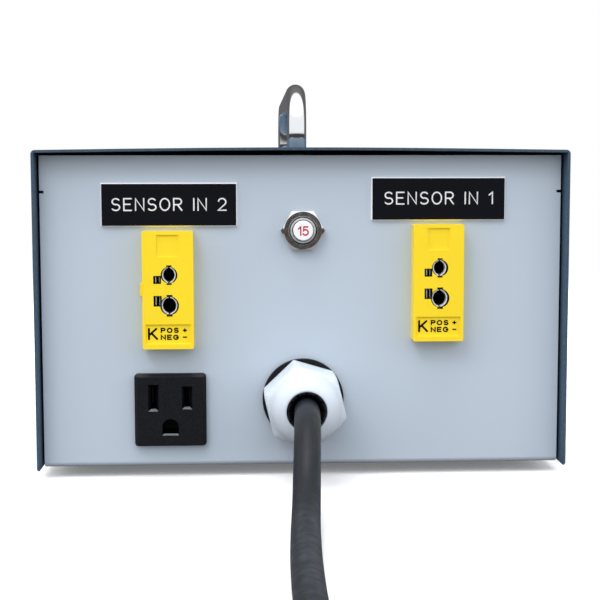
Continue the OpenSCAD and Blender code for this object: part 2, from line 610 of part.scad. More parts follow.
module sensor_wiring() {
  color([0.9, 0.75, 0.15]) {
    sweep(wire_sensor_left, 1.5, 8, 2, [0.05, 0.1, 1]);
    sweep(wire_sensor_right, 1.5, 8, 2, [0.05, 0.1, 1]);
  }
}

chassis();
cover();
cover_screws();
cover_clinch_nuts();
carry_handle();
handle_screws();
handle_washers();
rubber_feet();
foot_screws();
foot_nuts();
color([1, 0.88, 0.12]) on_rear(jack_lx, jack_lz) sensor_jack();  // sensor_jack_left
color([1, 0.88, 0.12]) on_rear(jack_rx, jack_rz) sensor_jack();  // sensor_jack_right
color([0.8, 0.8, 0.78]) on_rear(jack_lx, jack_lz) jack_contacts();  // jack_contacts_left
color([0.8, 0.8, 0.78]) on_rear(jack_rx, jack_rz) jack_contacts();  // jack_contacts_right
jack_clips();
jack_terminal_screws();
nameplate(plate_lx, plate_lz);  // nameplate_left
nameplate(plate_rx, plate_rz);  // nameplate_right
breaker_body();
breaker_nut();
breaker_button();
breaker_terminals();
outlet_body();
outlet_contacts();
gland_washer();
gland_body();
gland_dome_nut();
gland_seal();
gland_locknut();
power_cord();
cord_coil();
plug_body();
plug_blades();
process_controller_case();
process_controller_window();
process_key_1();
process_key_2();
process_key_3();
process_key_4();
limit_controller_case();
limit_controller_window();
limit_key_1();
limit_key_2();
limit_key_3();
controller_clamps();
power_switch_body();
power_rocker();
reset_button_body();
reset_button_cap();
reset_button_nut();
heater_lamp();
solid_state_relay();
heat_sink();
safety_relay();
terminal_block();
ground_stud();
mains_wiring();
sensor_wiring();
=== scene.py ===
import bpy, bmesh, json, math, random
import numpy as np
from mathutils import Vector, Matrix


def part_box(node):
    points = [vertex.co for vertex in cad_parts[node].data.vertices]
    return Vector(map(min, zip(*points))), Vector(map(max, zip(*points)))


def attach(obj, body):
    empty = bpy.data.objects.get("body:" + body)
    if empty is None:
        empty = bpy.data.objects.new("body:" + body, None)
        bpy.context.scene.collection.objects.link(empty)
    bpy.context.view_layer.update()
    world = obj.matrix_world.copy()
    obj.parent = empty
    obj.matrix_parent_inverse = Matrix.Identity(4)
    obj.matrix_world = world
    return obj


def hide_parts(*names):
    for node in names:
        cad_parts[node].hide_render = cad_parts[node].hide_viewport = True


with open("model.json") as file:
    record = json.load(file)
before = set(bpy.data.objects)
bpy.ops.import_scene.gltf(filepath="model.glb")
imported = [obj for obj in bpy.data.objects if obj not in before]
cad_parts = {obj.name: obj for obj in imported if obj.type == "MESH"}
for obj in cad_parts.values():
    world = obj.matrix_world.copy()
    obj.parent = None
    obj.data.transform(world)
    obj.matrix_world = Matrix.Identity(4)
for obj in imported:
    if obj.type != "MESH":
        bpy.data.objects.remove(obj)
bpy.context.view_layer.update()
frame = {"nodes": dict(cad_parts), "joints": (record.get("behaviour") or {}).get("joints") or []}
NODES = frame["nodes"]
MM = 0.001

# ------------------------------------------------------------------ helpers
def coll(o):
    bpy.context.scene.collection.objects.link(o)
    return o


def lin(r, g, b):
    """sRGB 0-255 to linear"""
    out = []
    for c in (r, g, b):
        c /= 255.0
        out.append(c / 12.92 if c <= 0.04045 else ((c + 0.055) / 1.055) ** 2.4)
    return (*out, 1.0)


def rear(x, z, w):
    """a point on the rear panel: x, z in mm in the row frame, w mm outwards from the panel's face"""
    return Vector((x * MM, PANEL_REAR - w * MM, z * MM))


def front(x, z, w):
    return Vector((x * MM, PANEL_FRONT + w * MM, z * MM))


def centre(node):
    a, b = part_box(node)
    return (a + b) / 2


lo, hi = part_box("chassis")
PANEL_REAR, PANEL_FRONT = lo.y, hi.y


def mesh_obj(name, verts, faces, mat, body="case", slot=None, smooth=True, replaces=(), sharp=35):
    me = bpy.data.meshes.new(name)
    me.from_pydata([tuple(v) for v in verts], [], [tuple(f) for f in faces])
    me.validate()
    bm = bmesh.new()
    bm.from_mesh(me)
    bmesh.ops.recalc_face_normals(bm, faces=bm.faces)
    if smooth:
        for f in bm.faces:
            f.smooth = True
        for e in bm.edges:
            if len(e.link_faces) == 2 and e.calc_face_angle(0) > math.radians(sharp):
                e.smooth = False
    bm.to_mesh(me)
    bm.free()
    me.materials.append(mat)
    o = coll(bpy.data.objects.new(name, me))
    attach(o, body)
    if replaces:
        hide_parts(*replaces)
    return o


def revolve(name, prof, place, mat, n=96, closed=False, **kw):
    """prof is [(radius, w)] in mm; place(u, v, w) gives the point"""
    verts, faces = [], []
    k = len(prof)
    for i in range(n):
        a = 2 * math.pi * i / n
        for r, w in prof:
            verts.append(place(r * math.cos(a), r * math.sin(a), w))
    for i in range(n):
        j = (i + 1) % n
        for m in range(k if closed else k - 1):
            mm = (m + 1) % k
            faces.append((i * k + m, j * k + m, j * k + mm, i * k + mm))
    if not closed:
        for end in (0, k - 1):
            if prof[end][0] > 1e-6:
                faces.append(tuple(i * k + end for i in range(n)))
    o = mesh_obj(name, verts, faces, mat, **kw)
    bm = bmesh.new()
    bm.from_mesh(o.data)
    bmesh.ops.remove_doubles(bm, verts=bm.verts, dist=1e-7)
    bm.to_mesh(o.data)
    bm.free()
    return o


def rounded(pts, r, seg=5):
    """round the corners of an open profile by small arcs"""
    out = [pts[0]]
    for a, b, c in zip(pts, pts[1:], pts[2:]):
        va = Vector((a[0] - b[0], a[1] - b[1]))
        vc = Vector((c[0] - b[0], c[1] - b[1]))
        d = min(r, va.length * 0.45, vc.length * 0.45)
        va.normalize()
        vc.normalize()
        p, q, m = Vector(b) + va * d, Vector(b) + vc * d, Vector(b)
        for i in range(seg + 1):
            t = i / seg
            out.append(tuple(p * (1 - t) ** 2 + m * 2 * t * (1 - t) + q * t * t))
    out.append(pts[-1])
    return out


def at_rear(x, z):
    return lambda u, v, w: rear(x + u, z + v, w)


def at_front(x, z):
    return lambda u, v, w: front(x - u, z + v, w)


def tidy(node, mat, bevel=0.0, smooth=True, seg=2, angle=30, slot=None, flat=0):
    """a CAD node keeps its shape; its edges get a small bevel and its material is set"""
    o = NODES[node]
    o.data.materials.clear()
    o.data.materials.append(mat)
    w = o.modifiers.new("weld", "WELD")
    w.merge_threshold = 2e-6
    if flat:
        d = o.modifiers.new("flat", "DECIMATE")
        d.decimate_type = "DISSOLVE"
        d.angle_limit = math.radians(flat)
    if bevel:
        b = o.modifiers.new("bevel", "BEVEL")
        b.width = bevel * MM
        b.segments = seg
        b.limit_method = "ANGLE"
        b.angle_limit = math.radians(angle)
        b.harden_normals = False
        b.use_clamp_overlap = True
        b.miter_outer = "MITER_ARC"
    if smooth:
        for p in o.data.polygons:
            p.use_smooth = True
        es = o.modifiers.new("edges", "EDGE_SPLIT")
        es.split_angle = math.radians(32)
        es.use_edge_angle = True
        es.use_edge_sharp = False
        wn_ = o.modifiers.new("normals", "WEIGHTED_NORMAL")
        wn_.mode = "FACE_AREA"
        wn_.weight = 80
        wn_.keep_sharp = True
    return o


# ------------------------------------------------------------------ materials
class Mat:
    def __init__(self, name, color, rough=0.5, metal=0.0, **kw):
        self.m = bpy.data.materials.new(name)
        self.m.use_nodes = True
        self.nt = self.m.node_tree
        self.b = self.nt.nodes["Principled BSDF"]
        self.b.inputs["Base Color"].default_value = color
        self.b.inputs["Roughness"].default_value = rough
        self.b.inputs["Metallic"].default_value = metal
        for k, v in kw.items():
            self.b.inputs[k.replace("_", " ")].default_value = v
        tc = self.nt.nodes.new("ShaderNodeTexCoord")
        self.co = tc.outputs["Object"]
        self.normal = None
        self.color = color

    def noise(self, scale, detail=2.0, rough=0.5, stretch=None):
        co = self.co
        if stretch:
            mp = self.nt.nodes.new("ShaderNodeMapping")
            mp.inputs["Scale"].default_value = stretch
            self.nt.links.new(co, mp.inputs["Vector"])
            co = mp.outputs["Vector"]
        n = self.nt.nodes.new("ShaderNodeTexNoise")
        n.inputs["Scale"].default_value = scale
        n.inputs["Detail"].default_value = detail
        n.inputs["Roughness"].default_value = rough
        self.nt.links.new(co, n.inputs["Vector"])
        return n.outputs["Fac"]

    def voronoi(self, scale, out="Distance"):
        n = self.nt.nodes.new("ShaderNodeTexVoronoi")
        n.inputs["Scale"].default_value = scale
        self.nt.links.new(self.co, n.inputs["Vector"])
        return n.outputs[out]

    def ramp(self, fac, stops):
        r = self.nt.nodes.new("ShaderNodeValToRGB")
        el = r.color_ramp.elements
        while len(el) > 1:
            el.remove(el[-1])
        el[0].position, el[0].color = stops[0]
        for p, c in stops[1:]:
            e = el.new(p)
            e.color = c
        self.nt.links.new(fac, r.inputs["Fac"])
        return r.outputs["Color"]

    def tint(self, fac, lo_f, hi_f, a=0.3, b=0.7, base=None):
        """base colour times lo_f..hi_f over the noise"""
        c = base or self.color
        k = lambda f: (min(1, c[0] * f), min(1, c[1] * f), min(1, c[2] * f), 1)
        out = self.ramp(fac, [(a, k(lo_f)), (b, k(hi_f))])
        self.nt.links.new(out, self.b.inputs["Base Color"])
        return out

    def roughen(self, fac, lo_r, hi_r, a=0.3, b=0.7):
        m = self.nt.nodes.new("ShaderNodeMapRange")
        m.inputs["From Min"].default_value = a
        m.inputs["From Max"].default_value = b
        m.inputs["To Min"].default_value = lo_r
        m.inputs["To Max"].default_value = hi_r
        self.nt.links.new(fac, m.inputs["Value"])
        self.nt.links.new(m.outputs["Result"], self.b.inputs["Roughness"])

    def bump(self, fac, dist_mm, strength=1.0):
        n = self.nt.nodes.new("ShaderNodeBump")
        n.inputs["Distance"].default_value = dist_mm * MM
        n.inputs["Strength"].default_value = strength
        self.nt.links.new(fac, n.inputs["Height"])
        if self.normal is not None:
            self.nt.links.new(self.normal, n.inputs["Normal"])
        self.normal = n.outputs["Normal"]
        self.nt.links.new(self.normal, self.b.inputs["Normal"])


def m_panel():
    m = Mat("panel_paint", lin(189, 201, 215), 0.42)
    m.tint(m.noise(9, 3), 0.975, 1.02)
    m.roughen(m.noise(60, 3), 0.36, 0.48)
    m.bump(m.noise(700, 2), 0.012, 0.5)
    return m.m


def m_cover():
    m = Mat("cover_powder_coat", lin(60, 80, 99), 0.5)
    coat = m.tint(m.noise(1500, 3, 0.7), 0.72, 1.35, 0.33, 0.68)
    m.roughen(m.noise(900, 2), 0.42, 0.62)
    m.bump(m.noise(1300, 3, 0.6), 0.09, 0.8)
    # painted shade: faces that point downwards (the underside of the top sheet and the feet of the sides) are mixed to
    # near-black, standing in for the shade beneath them
    g = m.nt.nodes.new("ShaderNodeNewGeometry")
    sx = m.nt.nodes.new("ShaderNodeSeparateXYZ")
    m.nt.links.new(g.outputs["Normal"], sx.inputs[0])
    r = m.nt.nodes.new("ShaderNodeMapRange")
    r.inputs["From Min"].default_value = -0.75
    r.inputs["From Max"].default_value = -0.3
    m.nt.links.new(sx.outputs["Z"], r.inputs["Value"])
    x = m.nt.nodes.new("ShaderNodeMix")
    x.data_type = "RGBA"
    x.inputs["A"].default_value = (0.004, 0.0045, 0.006, 1)
    m.nt.links.new(r.outputs["Result"], x.inputs["Factor"])
    m.nt.links.new(coat, x.inputs["B"])
    m.nt.links.new(x.outputs["Result"], m.b.inputs["Base Color"])
    m.b.inputs["Specular IOR Level"].default_value = 0.3
    return m.m


def m_metal(name, color, rough, bump=0.0, scale=800, stretch=None, lo_r=None, hi_r=None):
    m = Mat(name, color, rough, 1.0)
    m.tint(m.noise(40, 3), 0.94, 1.0)
    m.roughen(m.noise(scale, 3, stretch=stretch), lo_r if lo_r is not None else rough * 0.8, hi_r if hi_r is not None else rough * 1.25)
    if bump:
        m.bump(m.noise(scale, 2, stretch=stretch), bump, 0.5)
    return m.m


def m_plastic(name, color, rough, grain=0.0, gscale=1600, var=0.04, coat=0.0, vscale=25):
    m = Mat(name, color, rough)
    if coat:
        m.b.inputs["Coat Weight"].default_value = coat
        m.b.inputs["Coat Roughness"].default_value = 0.12
    m.tint(m.noise(vscale, 3), 1 - var, 1 + var)
    m.roughen(m.noise(gscale * 0.4, 3), rough * 0.88, min(1, rough * 1.12))
    if grain:
        m.bump(m.noise(gscale, 2), grain, 0.7)
    return m.m


M = {}
M["panel"] = m_panel()
M["cover"] = m_cover()
M["zinc"] = m_metal("zinc_plate", lin(176, 178, 182), 0.32, 0.004, 1500)
M["chrome"] = m_metal("polished_chrome", (0.86, 0.87, 0.88, 1), 0.05, 0, 300, None, 0.03, 0.07)
M["nickel"] = m_metal("nickel_plate", (0.74, 0.73, 0.71, 1), 0.16, 0.002, 900)
M["spring"] = m_metal("tinned_spring", (0.72, 0.72, 0.73, 1), 0.34, 0.003, 900)
M["nut"] = m_metal("nut_plate", (0.80, 0.80, 0.80, 1), 0.13, 0.003, 700)
M["rubber"] = m_plastic("black_rubber", lin(20, 20, 23), 0.62, 0.02, 1400, 0.12)
M["yellow"] = m_plastic("jack_yellow", lin(253, 220, 40), 0.38, 0.006, 1100, 0.03)
M["washer"] = m_plastic("washer_black", lin(13, 13, 16), 0.5, 0.01, 1300, 0.12)
M["plate_face"] = m_plastic("laminate_black", lin(9, 10, 18), 0.5, 0.006, 2200, 0.08)
M["plate_core"] = m_plastic("laminate_white", lin(252, 252, 253), 0.5, 0.004, 1500, 0.02)
M["phenolic"] = m_plastic("black_phenolic", lin(24, 23, 24), 0.4, 0.006, 1200, 0.1)
M["button"] = m_plastic("button_white", lin(246, 247, 248), 0.3, 0.0, 900, 0.015)
M["red_ink"] = m_plastic("red_ink", lin(190, 8, 66), 0.45, 0.0, 900, 0.05)
M["black_ink"] = m_plastic("black_ink", lin(14, 14, 14), 0.5, 0.0, 900, 0.05)
M["white_ink"] = m_plastic("white_ink", lin(232, 233, 235), 0.5, 0.0, 900, 0.03)
for k_, v_ in (("plate_face", 0.12), ("phenolic", 0.3), ("black_ink", 0.1), ("washer", 0.2), ("yellow", 0.35)):
    if k_ in M:
        M[k_].node_tree.nodes["Principled BSDF"].inputs["Specular IOR Level"].default_value = v_
M["brass"] = m_metal("brass", (0.80, 0.62, 0.30, 1), 0.25, 0.003, 900)
def m_outlet():
    m = Mat("outlet_black", lin(13, 14, 19), 0.42)
    m.tint(m.noise(2100, 2, 0.7), 0.35, 2.3, 0.38, 0.64)
    m.roughen(m.noise(600, 3), 0.38, 0.5)
    m.bump(m.noise(1500, 2), 0.05, 0.7)
    return m.m


M["outlet"] = m_outlet()
# painted highlight: the slot lead-in ramps are the outlet's black plastic, coloured a lighter grey here to stand in for
# the light their up-facing slopes catch
M["slot_gloss_and_painted_highlight"] = m_plastic("slot_gloss_and_painted_highlight", lin(86, 90, 100), 0.2, 0.0, 900, 0.1)
M["bushing"] = m_metal("bushing_plate", (0.86, 0.87, 0.88, 1), 0.16, 0.0, 600)
M["bushing"].node_tree.nodes["Principled BSDF"].inputs["Metallic"].default_value = 0.55
M["leaf"] = m_metal("contact_leaf", (0.93, 0.93, 0.94, 1), 0.38, 0.002, 900)
M["leaf"].node_tree.nodes["Principled BSDF"].inputs["Metallic"].default_value = 0.25
M["nut_face"] = m_metal("nut_plate_turned", (0.78, 0.77, 0.76, 1), 0.10, 0.0, 500, None, 0.08, 0.13)
# painted shade: the outlet's brass contacts are given a near-black colour, standing in for the shade inside the slots
M["brass_painted_shade"] = m_metal("brass_painted_shade", (0.035, 0.025, 0.014, 1), 0.5, 0.003, 900)
M["outlet"].node_tree.nodes["Principled BSDF"].inputs["Specular IOR Level"].default_value = 0.22
M["nylon"] = m_plastic("white_nylon", lin(207, 216, 228), 0.40, 0.004, 900, 0.015)
M["controller"] = m_plastic("controller_charcoal", lin(44, 45, 48), 0.48, 0.02, 1700, 0.06)
M["key"] = m_plastic("key_grey", lin(150, 155, 162), 0.42, 0.008, 1500, 0.04)
M["red_cap"] = m_plastic("cap_red", lin(190, 22, 24), 0.32, 0.004, 900, 0.05)
M["relay_white"] = m_plastic("relay_white", lin(222, 221, 212), 0.45, 0.01, 1500, 0.03)
M["relay_blue"] = m_plastic("relay_blue", lin(40, 84, 128), 0.4, 0.01, 1500, 0.05)
M["aluminium"] = m_metal("extruded_aluminium", lin(200, 203, 207), 0.34, 0.01, 500, (1, 0.05, 1))
M["wire_black"] = m_plastic("wire_insulation", lin(32, 32, 35), 0.4, 0.004, 900, 0.15)
M["wire_yellow"] = m_plastic("sensor_wire_insulation", lin(226, 190, 40), 0.4, 0.004, 900, 0.06)


# painted shade: a near-black sleeve lining the jack barrels, standing in for the shade deep inside the bores
M["bore_painted_shade"] = m_plastic("bore_painted_shade", lin(8, 7, 8), 0.7, 0.0, 900, 0.1)
M["bore_painted_shade"].node_tree.nodes["Principled BSDF"].inputs["Specular IOR Level"].default_value = 0.15


def m_window():
    m = Mat("display_window", lin(26, 8, 9), 0.12)
    m.b.inputs["Coat Weight"].default_value = 0.6
    m.b.inputs["Coat Roughness"].default_value = 0.05
    m.tint(m.noise(30, 2), 0.9, 1.1)
    return m.m


def m_lamp():
    m = Mat("lamp_amber", lin(232, 110, 18), 0.18)
    m.b.inputs["Transmission Weight"].default_value = 0.25
    m.tint(m.noise(200, 2), 0.85, 1.1)
    m.bump(m.voronoi(900), 0.05, 0.5)
    return m.m


M["window"] = m_window()
M["lamp"] = m_lamp()


def m_segment(name, col, glow):
    m = Mat(name, col, 0.35)
    if glow:
        m.b.inputs["Emission Color"].default_value = col
        m.b.inputs["Emission Strength"].default_value = glow
    m.tint(m.noise(300, 2), 0.9, 1.08)
    return m.m


M["segment"] = m_segment("segment_unlit", lin(70, 26, 24), 0)


def m_cord():
    m = Mat("cord_jacket", lin(22, 26, 34), 0.34)
    m.tint(m.noise(45, 4), 0.86, 1.12)
    m.roughen(m.noise(260, 3), 0.38, 0.54)
    m.bump(m.noise(1500, 2), 0.012, 0.5)
    return m.m


M["cord"] = m_cord()


def m_tie():
    m = Mat("hook_and_loop", lin(30, 31, 34), 0.85)
    m.b.inputs["Sheen Weight"].default_value = 0.4
    m.tint(m.noise(1400, 3, 0.7), 0.5, 1.6)
    m.roughen(m.noise(800, 2), 0.78, 0.95)
    m.bump(m.voronoi(1300), 0.18, 0.8)
    return m.m


M["tie"] = m_tie()

# ------------------------------------------------------------------ camera
EDGE_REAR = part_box("cover")[0].y
CASE_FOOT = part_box("cover")[0].z
cam_data = bpy.data.cameras.new("camera")
cam_data.sensor_width = 36
cam_data.lens = 36 * 1232.8 / 600
cam_data.clip_start = 0.01
cam_data.clip_end = 20
cam = coll(bpy.data.objects.new("camera", cam_data))
yaw, pitch, roll = math.radians(2.72), math.radians(5.11), math.radians(-0.11)
F = Vector((math.sin(yaw) * math.cos(pitch), math.cos(yaw) * math.cos(pitch), -math.sin(pitch)))
R0 = Vector((math.cos(yaw), -math.sin(yaw), 0))
U0 = R0.cross(F)
R1 = R0 * math.cos(roll) + U0 * math.sin(roll)
U1 = U0 * math.cos(roll) - R0 * math.sin(roll)
m = Matrix((R1, U1, -F)).transposed().to_4x4()
m.translation = Vector((-23.1 * MM, EDGE_REAR - 458.0 * MM, CASE_FOOT + 104.8 * MM))
cam.matrix_world = m
bpy.context.scene.camera = cam

# ------------------------------------------------------------------ power cord
CORD_D = 9.3
CR_Z = CORD_D / 2
GL = centre("gland_washer")
GX, GZ = GL.x / MM, GL.z / MM


def cat(a, b, c, d, t):
    return 0.5 * (2 * b + (c - a) * t + (2 * a - 5 * b + 4 * c - d) * t * t + (3 * b - a - 3 * c + d) * t * t * t)


def path(P, k):
    P = [np.array(p, float) for p in P]
    out = []
    for i in range(len(P) - 1):
        a, b, c, d = P[max(i - 1, 0)], P[i], P[i + 1], P[min(i + 2, len(P) - 1)]
        for j in range(k):
            out.append(cat(a, b, c, d, j / k))
    out.append(P[-1])
    return out


RUN = [[0, -115, GZ], [0, -123, GZ], [0, -131, GZ], [0, -139, GZ],
       [-0.3, -147, 28], [-0.8, -156, 24], [-1.4, -165, 18.4], [-2, -174, 12.6], [-2.6, -183, 8.2],
       [-3.2, -192, 5.7], [-3.8, -202, CR_Z + 0.2], [-4.4, -214, CR_Z], [-5.1, -230, CR_Z], [-5.7, -250, CR_Z], [-6, -270, CR_Z],
       [-5.7, -292, CR_Z], [-5.1, -312, CR_Z], [-4.4, -330, CR_Z], [-4, -344, CR_Z]]
COIL_X, COIL_Y = -69.4, -381.0
coil_pts = []
NT = 36
TURNS = 5 - 10 / 360
steps = int(round(TURNS * NT))
for i in range(1, steps + 1):
    t = i / NT
    if t > TURNS:
        t = TURNS
    a = -2 * math.pi * t
    if t <= 3:
        r = 65.4 - 9.3 * t
    else:
        r = 37.5 + 9.3 * (t - 3)
    up = min(1.0, max(0.0, (t - 2.72) / 0.45))
    z = CR_Z + 9.3 * (3 * up ** 2 - 2 * up ** 3)
    coil_pts.append([COIL_X + r * math.cos(a), COIL_Y + r * math.sin(a), z])
TAIL = [[-8.8, -402, 14], [-7, -412, 13.8], [-5.2, -422, 13.2], [-3.5, -432, 12.7]]
ctrl = RUN + [[-4, -358, CR_Z], [-4, -370, CR_Z]] + coil_pts + [[-12.4, -382, 13.95], [-10.6, -392, 13.95]] + TAIL
route = path(ctrl[:25], 3) + path(ctrl[24:], 2)[1:]


def cord_curve(name, pts, d):
    cu = bpy.data.curves.new(name, "CURVE")
    cu.dimensions = "3D"
    cu.bevel_depth = d / 2 * MM
    cu.bevel_resolution = 6
    cu.use_fill_caps = True
    sp = cu.splines.new("POLY")
    sp.points.add(len(pts) - 1)
    for p, q in zip(sp.points, pts):
        p.co = (q[0] * MM, q[1] * MM, q[2] * MM, 1)
    sp.use_smooth = True
    o = coll(bpy.data.objects.new(name, cu))
    o.data.materials.append(M["cord"])
    return o


cord = cord_curve("mains_cord", route, CORD_D)
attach(cord, "case")
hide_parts("power_cord", "cord_coil")

# ------------------------------------------------------------------ floor, world and light
WORLD = 1.30
def plane(name, size, z, mat):
    me = bpy.data.meshes.new(name)
    s = size / 2
    me.from_pydata([(-s, -s, z), (s, -s, z), (s, s, z), (-s, s, z)], [], [(0, 1, 2, 3)])
    me.materials.append(mat)
    o = coll(bpy.data.objects.new(name, me))
    return o


fl = Mat("floor", (0.90, 0.90, 0.91, 1), 0.75)
fl.tint(fl.noise(3, 2), 0.99, 1.01)
fl.b.inputs["Specular IOR Level"].default_value = 0.2
# the sheet of paper under the object runs out into the white sweep
geo = fl.nt.nodes.new("ShaderNodeNewGeometry")
ln = fl.nt.nodes.new("ShaderNodeVectorMath")
ln.operation = "LENGTH"
fl.nt.links.new(geo.outputs["Position"], ln.inputs[0])
mr = fl.nt.nodes.new("ShaderNodeMapRange")
mr.interpolation_type = "SMOOTHSTEP"
mr.inputs["From Min"].default_value = 0.45
mr.inputs["From Max"].default_value = 1.1
fl.nt.links.new(ln.outputs["Value"], mr.inputs["Value"])
tr = fl.nt.nodes.new("ShaderNodeBsdfTransparent")
mx = fl.nt.nodes.new("ShaderNodeMixShader")
fl.nt.links.new(mr.outputs["Result"], mx.inputs[0])
fl.nt.links.new(fl.b.outputs[0], mx.inputs[1])
fl.nt.links.new(tr.outputs[0], mx.inputs[2])
fl.nt.links.new(mx.outputs[0], fl.nt.nodes["Material Output"].inputs["Surface"])
# light that bounces off the paper is weaker than the paper looks, as on a dark bench with a paper mat
lp = fl.nt.nodes.new("ShaderNodeLightPath")
dim = fl.nt.nodes.new("ShaderNodeBsdfDiffuse")
dim.inputs["Color"].default_value = (0.22, 0.215, 0.21, 1)
em = fl.nt.nodes.new("ShaderNodeEmission")
em.inputs["Strength"].default_value = 0.16
add = fl.nt.nodes.new("ShaderNodeAddShader")
sw = fl.nt.nodes.new("ShaderNodeMixShader")
fl.nt.links.new(fl.b.outputs[0], add.inputs[0])
fl.nt.links.new(em.outputs[0], add.inputs[1])
fl.nt.links.new(lp.outputs["Is Camera Ray"], sw.inputs[0])
fl.nt.links.new(dim.outputs[0], sw.inputs[1])
fl.nt.links.new(add.outputs[0], sw.inputs[2])
fl.nt.links.new(sw.outputs[0], mx.inputs[1])
plane("floor", 12, -0.0002, fl.m)

world = bpy.data.worlds.new("world")
bpy.context.scene.world = world
world.use_nodes = True
wn = world.node_tree
bg = wn.nodes["Background"]
bg.inputs["Strength"].default_value = WORLD
# a room with a bright wall of light above the horizon in front of the panel and dark below it
tcw = wn.nodes.new("ShaderNodeTexCoord")
sep = wn.nodes.new("ShaderNodeSeparateXYZ")
wn.links.new(tcw.outputs["Generated"], sep.inputs[0])


def remap(sock, a0, a1, b0, b1):
    n = wn.nodes.new("ShaderNodeMapRange")
    n.interpolation_type = "SMOOTHSTEP"
    for k_, v_ in (("From Min", a0), ("From Max", a1), ("To Min", b0), ("To Max", b1)):
        n.inputs[k_].default_value = v_
    wn.links.new(sock, n.inputs["Value"])
    return n.outputs["Result"]


up = remap(sep.outputs["Z"], 0.012, 0.055, 0.0, 1.0)
ahead = remap(sep.outputs["Y"], 0.30, 0.05, 0.0, 1.0)
high = remap(sep.outputs["Z"], 0.25, 0.55, 0.0, 1.0)
above = remap(sep.outputs["Z"], 0.5, 0.85, 0.0, 1.0)


def blend(fac, a, b):
    n = wn.nodes.new("ShaderNodeMix")
    n.data_type = "RGBA"
    wn.links.new(fac, n.inputs["Factor"])
    for sock, v in (("A", a), ("B", b)):
        if isinstance(v, tuple):
            n.inputs[sock].default_value = v
        else:
            wn.links.new(v, n.inputs[sock])
    return n.outputs["Result"]


lit = blend(high, (0.80, 0.82, 0.84, 1), (1.12, 1.14, 1.16, 1))
wall = blend(up, (0.052, 0.045, 0.044, 1), lit)
room = blend(above, (0.10, 0.10, 0.105, 1), (0.16, 0.15, 0.145, 1))
wn.links.new(blend(ahead, room, wall), bg.inputs["Color"])
# the studio's white sweep behind the object
sweep = wn.nodes.new("ShaderNodeBackground")
sweep.inputs["Color"].default_value = (1, 1, 1, 1)
sweep.inputs["Strength"].default_value = 1.0
path_node = wn.nodes.new("ShaderNodeLightPath")
mix = wn.nodes.new("ShaderNodeMixShader")
wn.links.new(path_node.outputs["Is Camera Ray"], mix.inputs[0])
wn.links.new(bg.outputs[0], mix.inputs[1])
wn.links.new(sweep.outputs[0], mix.inputs[2])
wn.links.new(mix.outputs[0], wn.nodes["World Output"].inputs["Surface"])
bpy.context.scene.view_settings.view_transform = "Standard"


def area(name, loc, target, size, power, color=(1, 1, 1), glossy=False):
    l = bpy.data.lights.new(name, "AREA")
    l.shape = "RECTANGLE"
    l.size, l.size_y = size
    l.energy = power
    l.color = color
    o = coll(bpy.data.objects.new(name, l))
    o.location = loc
    d = Vector(target) - Vector(loc)
    o.rotation_euler = d.to_track_quat("-Z", "Y").to_euler()
    o.visible_glossy = glossy
    return o


area("key", (-0.55, -0.8, 1.15), (0, -0.05, 0.06), (0.6, 0.45), 5.5, (1, 0.99, 0.97))
area("over", (-0.09, -0.31, 1.15), (-0.03, -0.11, 0.04), (0.55, 0.22), 3.4, glossy=True)
area("fill_left", (-1.4, -0.5, 0.6), (0, 0, 0.06), (0.6, 0.9), 3.5, (0.95, 0.98, 1))
area("fill_right", (1.3, -0.6, 0.55), (0, 0, 0.06), (0.5, 0.9), 3, (0.95, 0.98, 1))
area("top_back", (0.15, 1.0, 1.2), (0, 0, 0.08), (0.9, 0.6), 17)
area("back_left", (-1.1, 1.2, 0.5), (0, 0, 0.06), (0.7, 0.8), 9)
area("back_right", (1.2, 1.1, 0.45), (0, 0, 0.06), (0.6, 0.8), 7)

# ------------------------------------------------------------------ stroke lettering
def arc(cx, cy, rx, ry, a0, a1, n=14):
    return [(cx + rx * math.cos(math.radians(a0 + (a1 - a0) * i / n)), cy + ry * math.sin(math.radians(a0 + (a1 - a0) * i / n))) for i in range(n + 1)]


GLYPH = {
    "S": (0.64, [arc(0.33, 0.745, 0.29, 0.255, 32, 262, 12) + arc(0.32, 0.26, 0.32, 0.26, 82, -148, 12)]),
    "E": (0.6, [[(0.6, 1), (0, 1), (0, 0), (0.6, 0)], [(0, 0.52), (0.5, 0.52)]]),
    "N": (0.66, [[(0, 0), (0, 1), (0.66, 0), (0.66, 1)]]),
    "O": (0.76, [arc(0.38, 0.5, 0.38, 0.5, 90, 450, 28)]),
    "R": (0.64, [[(0, 0), (0, 1), (0.36, 1)] + arc(0.36, 0.74, 0.26, 0.26, 80, -80, 10) + [(0.36, 0.48), (0, 0.48)], [(0.3, 0.48), (0.64, 0)]]),
    "P": (0.62, [[(0, 0), (0, 1), (0.36, 1)] + arc(0.36, 0.74, 0.26, 0.26, 80, -80, 10) + [(0.36, 0.48), (0, 0.48)]]),
    "I": (0.0, [[(0, 0), (0, 1)]]),
    "G": (0.76, [arc(0.38, 0.5, 0.38, 0.5, 42, 360, 22) + [(0.46, 0.5)]]),
    "K": (0.64, [[(0, 0), (0, 1)], [(0.6, 1), (0, 0.36)], [(0.2, 0.58), (0.66, 0)]]),
    "1": (0.26, [[(0, 0.76), (0.26, 1), (0.26, 0)]]),
    "2": (0.62, [arc(0.31, 0.7, 0.3, 0.3, 165, -38, 12) + [(0, 0), (0.63, 0)]]),
    "5": (0.62, [[(0.56, 1), (0.12, 1), (0.06, 0.53)] + arc(0.3, 0.33, 0.31, 0.33, 128, -150, 16)]),
    "+": (0.5, [[(0, 0.5), (0.5, 0.5)], [(0.25, 0.22), (0.25, 0.78)]]),
    "-": (0.5, [[(0, 0.5), (0.5, 0.5)]]),
    " ": (0.3, []),
}


